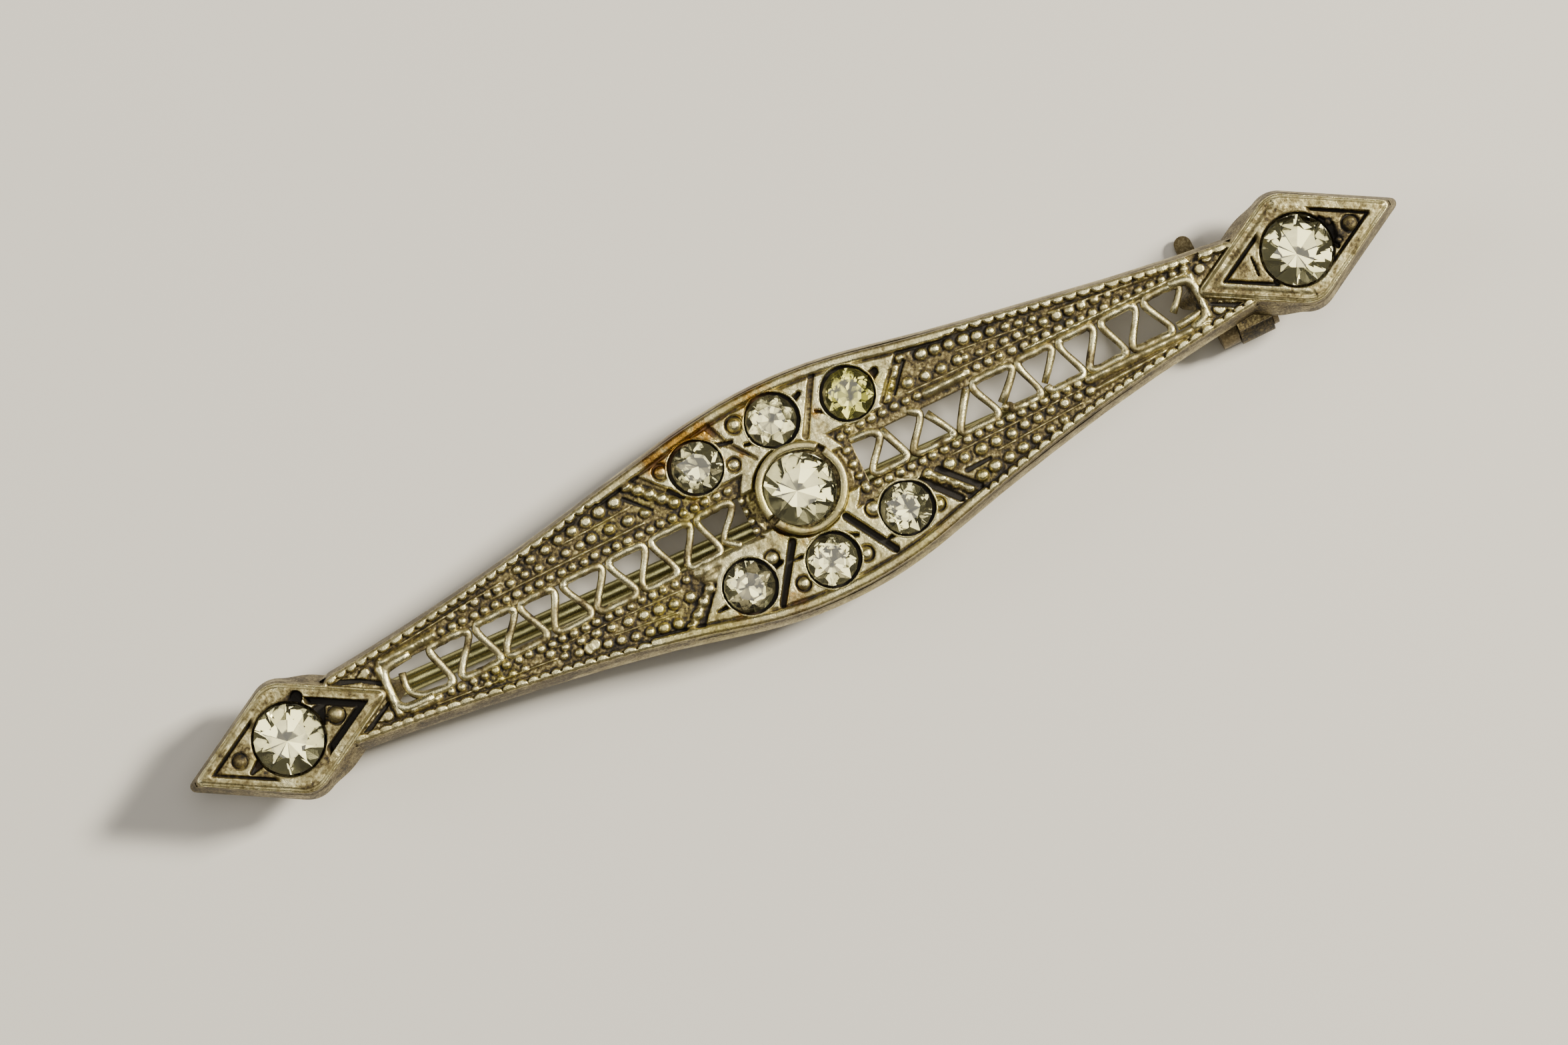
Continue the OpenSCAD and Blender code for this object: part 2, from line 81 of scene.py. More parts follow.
camera_data = bpy.data.cameras.new("camera")
camera_data.sensor_width = sensor / mm
camera_data.lens = sensor / mm * view_distance / (picture_px[0] * px)
camera_data.clip_start = seen_from
camera_data.clip_end = seen_to
camera = add_object("camera", camera_data)
camera.matrix_world = Matrix.Translation(aim + toward_camera * view_distance) @ Matrix(
    (view_right, view_up, toward_camera)).transposed().to_4x4()
bpy.context.scene.camera = camera


# Floor and light. A pale matt table, one large warm window light from the upper right
# of the picture, as the shadows show, and weak light from the other sides.
floor_half_mm = 1500
floor_colour = (0.78, 0.75, 0.70, 1)
floor_roughness = 0.85
sky_colour = (0.62, 0.59, 0.53, 1)
sky_strength = 0.16


def new_paint(name):
    """A material with its node tree and its Principled node."""
    paint = bpy.data.materials.new(name)
    paint.use_nodes = True
    return paint, paint.node_tree, paint.node_tree.nodes["Principled BSDF"]


def fill(node, values):
    """Sets a node's inputs, by their names."""
    for name, value in values.items():
        node.inputs[name].default_value = value


def mesh_object(name, bm, *paints):
    """The object, in metres, that a bmesh in millimetres makes, with its materials."""
    bmesh.ops.scale(bm, vec=(mm, mm, mm), verts=bm.verts)
    data = bpy.data.meshes.new(name)
    bm.to_mesh(data)
    bm.free()
    for paint in paints:
        data.materials.append(paint)
    return add_object(name, data)


floor_mesh = bmesh.new()
bmesh.ops.create_grid(floor_mesh, x_segments=1, y_segments=1, size=floor_half_mm)
table_paint, _, table_shader = new_paint("pale_table")
fill(table_shader, {"Base Color": floor_colour, "Roughness": floor_roughness})
floor = mesh_object("floor", floor_mesh, table_paint)

sky = bpy.data.worlds.new("room")
sky.use_nodes = True
fill(sky.node_tree.nodes["Background"], {"Color": sky_colour, "Strength": sky_strength})
bpy.context.scene.world = sky


def soft_light(name, right, up, toward, size, power, colour):
    """A square lamp, placed by the picture's own right, up and toward directions, in metres."""
    lamp = bpy.data.lights.new(name, "AREA")
    lamp.size = size
    lamp.energy = power
    lamp.color = colour
    place = aim + view_right * right + view_up * up + toward_camera * toward
    facing = (place - aim).to_track_quat("Z", "Y").to_matrix().to_4x4()
    add_object(name, lamp).matrix_world = Matrix.Translation(place) @ facing


soft_light("window_light", 0.42, 0.22, 0.42, 0.11, 7.5, (1.0, 0.945, 0.80))
soft_light("top_light", 0.05, 0.12, 0.75, 0.40, 1.7, (1.0, 0.96, 0.86))
soft_light("left_fill", -0.55, 0.05, 0.35, 0.30, 0.9, (1.0, 0.97, 0.92))


# The cast metal. Old silver-toned pot metal with a dark film in every recess: the film is
# rubbed off the high spots, and brown and yellow stains of old glue lie near the centre.
film_dark = (0.012, 0.009, 0.006, 1)
film_brown = (0.10, 0.074, 0.032, 1)
metal_mid = (0.295, 0.245, 0.115, 1)
metal_pale = (0.585, 0.515, 0.27, 1)
metal_rubbed = (0.83, 0.77, 0.455, 1)
stain_brown = (0.085, 0.038, 0.008, 1)
stain_gold = (0.44, 0.23, 0.03, 1)
stain_yellow = (0.50, 0.43, 0.11, 1)
# Noise scales, in lumps per metre
dust_scale = 26000
grain_scale = 9000
speck_scale = 2600
patch_scale = 1300


def link(tree, source, target):
    tree.links.new(source, target)


def maths(tree, operation, a, b=0.0, clamp=False):
    """A Math node; a and b are sockets or numbers. Its output is returned."""
    node = tree.nodes.new("ShaderNodeMath")
    node.operation = operation
    node.use_clamp = clamp
    for socket, value in zip(node.inputs, (a, b)):
        if isinstance(value, (int, float)):
            socket.default_value = value
        else:
            link(tree, value, socket)
    return node.outputs[0]


def mottle(tree, place, scale, detail, rough=0.6):
    """A Noise node's value, centred on 0."""
    node = tree.nodes.new("ShaderNodeTexNoise")
    fill(node, {"Scale": scale, "Detail": detail, "Roughness": rough})
    link(tree, place, node.inputs["Vector"])
    return maths(tree, "SUBTRACT", node.outputs["Fac"], 0.5)


def shades(tree, amount, stops):
    """A Color Ramp over amount, from (position, colour) pairs."""
    node = tree.nodes.new("ShaderNodeValToRGB")
    ramp = node.color_ramp
    while len(ramp.elements) < len(stops):
        ramp.elements.new(0.5)
    for element, (position, colour) in zip(ramp.elements, stops):
        element.position = position
        element.color = colour
    link(tree, amount, node.inputs["Fac"])
    return node.outputs["Color"]


def tint(tree, amount, below, above):
    """Mixes the colour above over the colour below; each is a socket or a colour."""
    node = tree.nodes.new("ShaderNodeMix")
    node.data_type = "RGBA"
    link(tree, amount, node.inputs["Factor"])
    for socket, value in ((node.inputs["A"], below), (node.inputs["B"], above)):
        if isinstance(value, tuple):
            socket.default_value = value
        else:
            link(tree, value, socket)
    return node.outputs["Result"]


def reading(tree, name):
    """The value that a piece's points carry under that name."""
    node = tree.nodes.new("ShaderNodeAttribute")
    node.attribute_name = name
    return node.outputs["Fac"]


def between(tree, amount, low, high, to_low, to_high):
    """Maps low..high to to_low..to_high, and holds it there beyond."""
    node = tree.nodes.new("ShaderNodeMapRange")
    for socket, value in zip(node.inputs[1:5], (low, high, to_low, to_high)):
        socket.default_value = value
    link(tree, amount, node.inputs[0])
    return node.outputs[0]


def metal_paint(name, stops, roughness, metallic, grain, bump_depth, wear=None):
    """A bare metal: stops colour it from film to rubbed metal, where its points are worn and
    by the grain. A piece whose points carry no wear takes one wear for all."""
    paint, tree, shader = new_paint(name)
    place = tree.nodes.new("ShaderNodeTexCoord").outputs["Object"]
    fine = mottle(tree, place, grain_scale, 4, 0.7)
    patch = maths(tree, "MULTIPLY", mottle(tree, place, patch_scale, 4), 0.55)
    uneven_wear = maths(tree, "ADD", maths(tree, "MULTIPLY", fine, 0.95), patch)
    uneven_wear = maths(tree, "MULTIPLY", uneven_wear, grain)
    rubbed = maths(tree, "ADD", reading(tree, "wear") if wear is None else wear, uneven_wear, clamp=True)
    colour = shades(tree, rubbed, stops)
    speck = maths(tree, "MULTIPLY", mottle(tree, place, speck_scale, 5, 0.7), 1.3)
    film = maths(tree, "ADD", reading(tree, "yellow"), maths(tree, "MULTIPLY", speck, 0.8))
    clean = between(tree, rubbed, 0.1, 0.5, 0, 1)
    yellow = maths(tree, "MULTIPLY", between(tree, film, 0.3, 0.85, 0, 0.75), clean)
    colour = tint(tree, yellow, colour, stain_yellow)
    glue = maths(tree, "ADD", reading(tree, "brown"), speck)
    glue_colour = tint(tree, between(tree, rubbed, 0.5, 0.95, 0, 1), stain_brown, stain_gold)
    colour = tint(tree, between(tree, glue, 0.3, 0.75, 0, 0.95), colour, glue_colour)
    link(tree, colour, shader.inputs["Base Color"])
    link(tree, between(tree, rubbed, 0.1, 0.9, *roughness), shader.inputs["Roughness"])
    link(tree, between(tree, rubbed, 0.0, 0.4, *metallic), shader.inputs["Metallic"])
    bump = tree.nodes.new("ShaderNodeBump")
    fill(bump, {"Strength": 1, "Distance": bump_depth})
    dust = maths(tree, "MULTIPLY", mottle(tree, place, dust_scale, 2), 0.35)
    link(tree, maths(tree, "ADD", fine, dust), bump.inputs["Height"])
    link(tree, bump.outputs["Normal"], shader.inputs["Normal"])
    return paint


cast_metal = metal_paint(
    "cast_metal",
    [(0.0, film_dark), (0.22, film_brown), (0.45, metal_mid), (0.72, metal_pale), (1.0, metal_rubbed)],
    roughness=(0.62, 0.25), metallic=(0.4, 1.0), grain=1.15, bump_depth=0.020 * mm)


# The long face. One casting between the two lozenges: milled rims, a sunk ground with rows
# of beads and fine ridges, smooth panels round the centre stone and two open windows.
# It is laid out flat as a height map, pressed into shape tool by tool, as its die was cut.
centre_x = 0.5
face_w = 10.12
bulge_r = 22
bulge_half = 5.2
waist_r = 120
rim_end_x = 22.8
rim_z = 4.8
ground_z = 4.5
panel_z = 4.7
back_z = 3.0
window_half_h = 1.0
window_end_x = 19.95
window_in_d = 2.84
window_foot_z = 4.15
cell = 0.052
window_rows = 20
beaded_rows = 78

bulge_cy = face_w / 2 - bulge_r
bulge_turn = math.asin(bulge_half / bulge_r)
waist_cx = bulge_half + waist_r * math.sin(bulge_turn)
waist_cy = bulge_cy + (bulge_r + waist_r) * math.cos(bulge_turn)


def rise(amount, low, high):
    """0 below low, 1 above high, and a smooth step between."""
    t = np.clip((amount - low) / (high - low), 0, 1)
    return t * t * (3 - 2 * t)


def within(distance, soft):
    """1 inside an edge and 0 outside it, from the distance inward, over a soft step."""
    return rise(distance, -soft, soft)


def hump(amount, at, width):
    """1 where amount is at that value, fading out over width on both sides."""
    return np.exp(-((amount - at) / width) ** 2)


def half_width(x):
    """Half the width of the face at x: an outward arc over the centre, an inward one beside it."""
    d = np.abs(np.asarray(x) - centre_x)
    bulge = bulge_cy + np.sqrt(bulge_r ** 2 - np.minimum(d, bulge_half) ** 2)
    waist = waist_cy - np.sqrt(waist_r ** 2 - (waist_cx - d) ** 2)
    return np.where(d <= bulge_half, bulge, waist)


# The casting is a little bent. For its upper (1) and lower (-1) edge: left (-1) or right (1)
# half, how far the edge moves out, and between which distances from the centre it does
BENDS = {1: [(-1, 0.19, 3, 9), (1, 0.19, 4, 12), (1, -0.10, 14, 21)],
         -1: [(-1, -0.10, 2, 7), (-1, 0.10, 9, 16), (1, -0.27, 2, 15)]}
end_rounding = 0.22


def edge_of(x, side):
    """Distance of the edge from the X axis, above (side 1) or below (side -1)."""
    d = np.asarray(x) - centre_x
    out = sum(amount * rise(half * d, start, end) for half, amount, start, end in BENDS[side])
    return half_width(x) + out - end_rounding * rise(np.abs(x), rim_end_x - 0.5, rim_end_x)


def even_steps(stops, step):
    """Nearly even steps along the stops, with each stop kept."""
    marks = [stops[0]]
    for a, b in zip(stops, stops[1:]):
        n = max(1, round((b - a) / step))
        marks += [a + (b - a) * i / n for i in range(1, n + 1)]
    return np.array(marks)


def soften(a, reach):
    """A running mean over reach cells each way, twice."""
    for axis in (0, 1, 0, 1):
        pad = [(reach + 1, reach) if k == axis else (0, 0) for k in range(2)]
        total = np.cumsum(np.pad(a, pad, mode="edge"), axis=axis)
        n = a.shape[axis]
        upper = np.take(total, np.arange(n) + 2 * reach + 1, axis=axis)
        lower = np.take(total, np.arange(n), axis=axis)
        a = (upper - lower) / (2 * reach + 1)
    return a


def uneven(x, y, size, seed):
    """Smooth noise from -1 to 1 over x and y, with lumps of that size."""
    flat = zip(np.ravel(x) / size, np.ravel(y) / size)
    values = [noise.noise(Vector((a, b, seed))) for a, b in flat]
    return np.reshape(values, np.shape(x))


def lumpy(x, y, layers, seed=0):
    """A sum of noises over x and y; for each, its amount, the size of its lumps, its seed."""
    return sum(amount * uneven(x, y, size, own + seed) for amount, size, own in layers)


def arc(radius, away):
    """Height of a circle at that distance from its middle, and 0 beyond its radius."""
    return np.sqrt(np.maximum(radius ** 2 - away ** 2, 0))


def from_line(x, y, ends):
    """Distance of each point from a line, and how far along it, from 0 to 1."""
    x0, y0, x1, y1 = ends
    dx, dy = x1 - x0, y1 - y0
    along = np.clip(((x - x0) * dx + (y - y0) * dy) / (dx * dx + dy * dy), 0, 1)
    return np.hypot(x - x0 - along * dx, y - y0 - along * dy), along


# A height above everything; its negative is below everything. Both leave a point as it is.
untouched = 9
# How far the sides of a cut slope each way, and the ring that a punch leaves round a bead
cut_slope = 0.05
punch_ring_w = 0.05
punch_ring_d = 0.02


class Relief:
    """A height map over the face, in millimetres, and the tools that shape it."""

    def __init__(self, x, y, z):
        self.x, self.y, self.z = x, y, z

    def near(self, x0, x1):
        """The columns between x0 and x1."""
        at = np.nonzero((self.x[0] >= x0) & (self.x[0] <= x1))[0]
        return slice(at[0], at[-1] + 1) if len(at) else slice(0, 0)

    def lift(self, part, height, soft=0.03):
        """Raises the columns in part to height where that is higher, with a small fillet."""
        z = self.z[:, part]
        joined = (z + height + np.sqrt((z - height) ** 2 + soft ** 2)) / 2
        joined = joined - soft / 2 * rise(height, z - soft, z - 4 * soft)
        self.z[:, part] = np.where(height > z - 4 * soft, joined, z)

    def sink(self, part, height):
        self.z[:, part] = np.minimum(self.z[:, part], height)

    def blend(self, height, share):
        """Moves every point that share of the way to height."""
        self.z = self.z + (height - self.z) * share

    def bead(self, x, y, d, base, flat=0.0, stretch=1.0):
        """A round grain of diameter d; flat cuts its top, stretch makes it longer along X."""
        r = d / 2
        part = self.near(x - 2 * r * stretch - 0.1, x + 2 * r * stretch + 0.1)
        away = np.hypot((self.x[:, part] - x) / stretch, self.y[:, part] - y)
        ring = punch_ring_d * hump(away, r + punch_ring_w, punch_ring_w)
        self.z[:, part] -= np.where(away > r, ring, 0)
        dome = base + np.minimum(arc(r, away) * 0.95, r * (1 - flat))
        self.z[:, part] = np.where(away < r, np.maximum(self.z[:, part], dome), self.z[:, part])

    def strip(self, ends, margin):
        """The columns beside a line, their distance from it, and how far along it."""
        part = self.near(min(ends[0], ends[2]) - margin, max(ends[0], ends[2]) + margin)
        return part, *from_line(self.x[:, part], self.y[:, part], ends)

    def ridge(self, ends, width, top):
        """A rounded and slightly lumpy ridge."""
        part, away, along = self.strip(ends, width)
        wobble = 0.02 * np.sin(along * math.dist(ends[:2], ends[2:]) * 9 + ends[0] * 5)
        crest = top + wobble - (away / (width / 2)) ** 2 * 0.12
        self.lift(part, np.where(away < width, crest, -untouched))

    def groove(self, ends, w0, w1, floor):
        """A cut with sloping sides, as wide as given at its two ends."""
        part, away, along = self.strip(ends, max(w0, w1) + 0.1)
        half = (w0 + (w1 - w0) * along) / 2
        side = floor + (panel_z + 0.1 - floor) * within(away - half, cut_slope)
        self.sink(part, np.where(away > half + cut_slope, untouched, side))


# How far the seat of each small stone lies off the stone's middle: a dark crescent of the seat, painted
# shade, shows there
SEAT_ASIDE = {
    "stone_lower_left": (0.05, -0.02), "stone_lower_middle": (0.06, -0.02),
    "stone_lower_right": (0.05, 0), "stone_upper_left": (-0.06, 0.01),
    "stone_upper_middle": (0.05, 0), "stone_upper_right": (-0.05, 0.03)}
seat_gap = 0.12
seat_floor_z = ground_z - 0.35


def middle_of(name):
    """Centre of one of the frame's stones, in millimetres."""
    low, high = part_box(name)
    return (low.x + high.x) / 2 / mm, (low.y + high.y) / 2 / mm


def stone_seats():
    """Name, centre and stone radius, in millimetres, of each small stone's seat."""
    for name, (dx, dy) in SEAT_ASIDE.items():
        low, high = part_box(name)
        x, y = middle_of(name)
        yield name, x + dx, y + dy, (high.x - low.x) / 2 / mm


# Round the ring of the centre stone: a sunk moat, a rough collar and a smooth shelf
ring_at = middle_of("stone_centre")
moat_r = 2.22
collar_r = 2.38
shelf_r = 2.68

# The rim, its plain stretch beside the centre, and the half-discs milled into the rest.
# The milling begins at these distances on the upper (1) and lower (-1) rim, left and right.
MILLED_FROM = {1: (8.2, 9.2), -1: (8.6, 7.9)}
mill_pitch = 0.576
rim_w = 0.4
milled_w = 0.33
notch_w = 0.07
notch_floor_z = 4.57
plain_rim_w = 0.5
plain_rim_end = 8.5
# One tooth of the upper rim is missing: its place and half its width
tooth_x = 20.75
tooth_gap = 0.28

# Rows of beads: the points that each row runs through, the number of beads, and the
# diameters at its two ends
BEAD_ROWS = [
    ([(-18.0, 1.37), (-2.6, 1.42)], 29, 0.42, 0.40),
    ([(-16.2, 1.84), (-14.3, 1.94)], 4, 0.36, 0.40),
    ([(-13.8, 1.97), (-11.9, 2.02), (-9.6, 2.15)], 7, 0.42, 0.42),
    ([(-8.98, 2.18), (-6.31, 2.17)], 4, 0.50, 0.54),
    ([(-12.6, 2.38), (-10.5, 2.74), (-7.4, 3.20)], 8, 0.42, 0.62),
    ([(-18.2, -1.26), (-5.4, -1.33)], 24, 0.41, 0.40),
    ([(-16.6, -1.63), (-14.2, -1.79)], 5, 0.34, 0.38),
    ([(-12.9, -1.68), (-10.7, -1.77), (-6.15, -2.14)], 10, 0.42, 0.56),
    ([(-12.4, -2.02), (-11.7, -2.20)], 2, 0.40, 0.42),
    ([(-10.4, -2.40), (-7.1, -2.98)], 6, 0.45, 0.54),
    ([(3.5, 1.56), (6.94, 1.58)], 7, 0.38, 0.42),
    ([(9.35, 1.55), (20.2, 1.44)], 20, 0.43, 0.40),
    ([(6.85, 2.25), (9.23, 2.20)], 4, 0.60, 0.50),
    ([(9.63, 2.155), (12.78, 1.99)], 6, 0.38, 0.42),
    ([(13.48, 2.10), (14.3, 2.05), (16.6, 1.95)], 6, 0.54, 0.40),
    ([(7.94, 3.20), (9.6, 2.98), (13.1, 2.42)], 9, 0.60, 0.42),
    ([(3.1, -1.19), (14.2, -1.12)], 21, 0.42, 0.42),
    ([(6.89, -1.83), (10.04, -1.82)], 5, 0.56, 0.54),
    ([(10.74, -1.71), (14.05, -1.62)], 6, 0.46, 0.46),
    ([(8.0, -2.93), (12.4, -2.28)], 7, 0.56, 0.44),
    ([(-2.25, 0.75), (-2.22, -0.75)], 4, 0.34, 0.34),
    ([(3.03, 1.40), (3.03, 0.05)], 3, 0.40, 0.40),
    ([(3.05, -0.55), (3.05, -1.0)], 2, 0.34, 0.34)]

# Single lumps: place, diameter, and how flat the top is
LUMPS = [
    (-11.2, -2.22, 0.58, 0.35), (-10.92, -2.17, 0.56, 0.4), (6.98, 3.42, 0.44, 0.1),
    (6.58, 3.12, 0.36, 0.2), (7.45, -3.2, 0.3, 0.2), (-20.95, 1.05, 0.5, 0.4),
    (-20.75, 1.2, 0.46, 0.3), (-20.95, -0.9, 0.5, 0.45), (-20.65, -1.0, 0.52, 0.35),
    (20.85, -0.81, 0.6, 0.5), (21.3, 1.5, 0.5, 0.4), (20.8, 1.15, 0.5, 0.4),
    (21.4, -1.0, 0.46, 0.4), (-21.6, -1.15, 0.4, 0.4)]

# Smooth bars where beads have run together, and the fine ridges between the rows:
# x and y of both ends, width, height over the ground
RIDGES = [
    (-19.9, 1.30, -17.3, 1.40, 0.40, 0.22), (7.3, 1.50, 9.1, 1.52, 0.40, 0.20),
    (12.2, 1.33, 20.1, 1.26, 0.26, 0.20), (-19.5, -1.24, -18.4, -1.25, 0.36, 0.20),
    (14.3, -1.14, 20.1, -1.16, 0.40, 0.20), (-20.12, 1.1, -20.12, -1.1, 0.36, 0.22),
    (20.28, 1.1, 20.25, -0.9, 0.32, 0.20), (-5.3, -1.30, -2.4, -1.28, 0.62, 0.19),
    (-5.0, -1.78, -3.4, -1.66, 0.60, 0.18),
    (-14.2, 1.70, -6.6, 1.78, 0.18, 0.08), (-10.3, 2.52, -6.9, 2.70, 0.16, 0.07),
    (-18.8, 1.66, -13.6, 2.18, 0.16, 0.09), (-18.4, -1.50, -12.8, -1.98, 0.16, 0.08),
    (-12.6, -1.52, -6.4, -1.66, 0.14, 0.05), (-9.9, -2.18, -7.0, -2.50, 0.14, 0.05),
    (6.6, 1.88, 13.6, 1.80, 0.18, 0.07), (9.4, 2.62, 12.8, 2.26, 0.16, 0.06),
    (13.9, 2.32, 19.8, 1.70, 0.20, 0.12), (6.9, -1.50, 13.8, -1.38, 0.16, 0.06),
    (9.2, -2.20, 13.4, -1.96, 0.16, 0.06), (14.3, -1.66, 19.0, -1.44, 0.26, 0.11)]

# Rope ridges at the outer corners of the panels: x and y of both ends, lumps, width
ROPES = [
    (-4.95, 2.00, -6.60, 3.64, 5, 0.54), (5.66, 2.08, 6.40, 2.90, 3, 0.50),
    (-5.20, -2.16, -6.66, -3.40, 4, 0.52), (5.86, -1.80, 7.28, -3.18, 4, 0.50)]

# Dark cuts between the panels, beside the ropes and along the rims: x and y of both ends,
# width at both ends
CUTS = [
    (-0.95, -1.90, -2.55, -4.25, 0.36, 0.30), (1.70, -1.90, 3.08, -4.20, 0.34, 0.36),
    (-4.45, 2.05, -4.95, 2.56, 0.22, 0.30), (6.05, 2.05, 7.05, 3.25, 0.14, 0.20),
    (-6.00, 2.15, -6.95, 3.15, 0.14, 0.24), (5.44, -1.92, 6.72, -3.42, 0.34, 0.36),
    (6.34, -1.80, 7.76, -3.30, 0.32, 0.32), (7.50, -2.42, 8.65, -2.38, 0.28, 0.20),
    (16.4, -1.80, 20.0, -1.40, 0.12, 0.14), (-21.1, 0.98, -22.5, 1.48, 0.22, 0.36),
    (-20.3, 0.45, -21.1, 0.98, 0.26, 0.22), (-20.4, -0.50, -22.0, -1.35, 0.20, 0.30),
    (20.6, 0.40, 22.2, 1.25, 0.22, 0.40), (20.6, -0.50, 22.2, -1.35, 0.20, 0.34)]
cut_floor_z = ground_z - 0.12

# The same, less deep and filled with brown film
SHALLOW_CUTS = [
    (-0.75, 2.15, -1.75, 3.40, 0.12, 0.28), (-1.75, 3.40, -2.25, 4.52, 0.28, 0.34),
    (1.66, 2.10, 3.05, 4.45, 0.34, 0.30), (-4.95, 2.56, -6.15, 3.80, 0.24, 0.36),
    (5.35, 1.95, 6.35, 3.10, 0.20, 0.20), (-5.35, -2.75, -6.25, -3.55, 0.08, 0.20)]
shallow_floor_z = ground_z + 0.05

# Slots that a tool left at the edges of the seats, where it pushed metal over the stones
SEAT_SLOTS = [
    (-0.35, 2.85, -0.98, 2.94, 0.20, 0.14), (1.45, 3.66, 2.20, 3.98, 0.36, 0.20),
    (-2.25, 3.52, -1.45, 3.34, 0.26, 0.16), (3.15, 2.62, 2.52, 2.94, 0.20, 0.10),
    (5.00, 3.10, 5.70, 3.40, 0.50, 0.36), (-2.55, -2.62, -1.80, -2.50, 0.28, 0.20),
    (-4.75, -3.24, -5.30, -3.28, 0.20, 0.12), (1.20, -2.62, 1.82, -2.88, 0.26, 0.16),
    (-0.85, -2.68, -1.36, -2.66, 0.16, 0.10), (3.40, -3.58, 2.78, -3.68, 0.18, 0.12)]

# Ring-cut beads on the panels: x, y, diameter
PANEL_BEADS = [
    (-1.03, 3.97, 0.66), (-4.92, 3.50, 0.58), (-1.81, 2.36, 0.50), (-2.10, -2.16, 0.56),
    (2.96, -2.13, 0.64), (-1.31, -3.80, 0.56), (1.80, -3.81, 0.58), (5.68, -3.22, 0.52)]

# Outer edge of the upper (1) and lower (-1) panels, left and right: its distance from the
# middle at that height, and how fast it grows
PANEL_REACH = {1: (4.68, 4.80), -1: (5.05, 4.95)}
PANEL_SLOPE = {1: (1.08, 0.80), -1: (0.85, 0.87)}
panel_foot_y = 1.8
# Their inner edge, from the X axis, which lies further in on the lower left
panel_inner_y = 1.78
lower_left_inner_y = 1.15
shelf_inner_y = 0.95
panel_soft = 0.06
# How deep a bead on a panel and the ring round it are set, and the heights of the ropes
panel_bead_in = 0.18
panel_ring_d = 0.20
rope_z = ground_z + 0.17
rope_lump_z = ground_z + 0.04
# Unevenness of the ground, panels and rim: amount, size of the lumps, seed
GROUND_LUMPS = [(0.020, 0.30, 3.1), (0.026, 0.11, 7.7)]
PANEL_LUMPS = [(0.022, 0.5, 5.5), (0.016, 0.14, 2.5)]
RIM_LUMPS = [(0.012, 0.4, 9.2), (0.008, 0.13, 1.2)]


def rows_on(side, table):
    """The rows of a table whose place lies above (side 1) or below (side -1) the X axis."""
    return [row for row in table if row[1] * side > 0]


def along_points(points, share):
    """The place at that share of the way through the points."""
    legs = [math.dist(a, b) for a, b in zip(points, points[1:])]
    left = share * sum(legs)
    for a, b, leg in zip(points, points[1:], legs):
        if left <= leg + 1e-9:
            return tuple(p + (q - p) * left / leg for p, q in zip(a, b))
        left -= leg
    return points[-1]


def press_beads(relief, side):
    """Rows of beads, single lumps, and the ridges and bars between them."""
    chance = random.Random(11 + side)
    for *ends, width, height in RIDGES:
        crosses_axis = ends[1] * ends[3] < 0
        if ends[1] * side > 0 or crosses_axis:
            relief.ridge(ends, width, ground_z + height)
    for points, n, d0, d1 in BEAD_ROWS:
        for i in range(n):
            bx, by = along_points(points, i / (n - 1))
            bx, by = bx + chance.uniform(-0.035, 0.035), by + chance.uniform(-0.03, 0.03)
            size = (d0 + (d1 - d0) * i / (n - 1)) * chance.uniform(0.92, 1.07)
            flat, stretch = chance.uniform(0.0, 0.22), chance.uniform(0.96, 1.12)
            if by * side > -0.3:
                relief.bead(bx, by, size, ground_z - 0.02, flat, stretch)
    for bx, by, d, flat in rows_on(side, LUMPS):
        relief.bead(bx, by, d, ground_z, flat)


def press_panels(relief, side):
    """The smooth panels, the ropes at their corners, the cuts and the ring-cut beads."""
    x, y = relief.x, relief.y
    left = x < centre_x
    reach = np.where(left, *PANEL_REACH[side])
    reach = reach + np.where(left, *PANEL_SLOPE[side]) * (np.abs(y) - panel_foot_y)
    inner_y = np.where(left & (y < 0), lower_left_inner_y, panel_inner_y)
    panel = within(reach - np.abs(x - centre_x), panel_soft) * within(np.abs(y) - inner_y, panel_soft)
    away = np.hypot(x - ring_at[0], y - ring_at[1])
    shelf = within(shelf_r - away, panel_soft) * within(np.abs(y) - shelf_inner_y, 0.1)
    collar = (1 - rise(np.abs(away - collar_r), 0.03, 0.10)) * (0.25 + 0.4 * uneven(x, y, 0.35, 8.8))
    relief.blend(panel_z + lumpy(x, y, PANEL_LUMPS), np.maximum(np.maximum(panel, shelf), collar))
    for x0, y0, x1, y1, n, width in rows_on(side, ROPES):
        relief.ridge((x0, y0, x1, y1), width * 0.7, rope_z)
        for t in np.linspace(0, 1, n):
            relief.bead(x0 + (x1 - x0) * t, y0 + (y1 - y0) * t, width, rope_lump_z, 0.1)
    for cuts, floor in ((CUTS + SEAT_SLOTS, cut_floor_z), (SHALLOW_CUTS, shallow_floor_z)):
        for *ends, w0, w1 in rows_on(side, cuts):
            relief.groove(ends, w0, w1, floor)
    for bx, by, d in rows_on(side, PANEL_BEADS):
        away = np.hypot(x - bx, y - by)
        relief.z -= panel_ring_d * hump(away, d / 2 + punch_ring_w, punch_ring_w)
        relief.bead(bx, by, d, panel_z - panel_bead_in, 0.15)


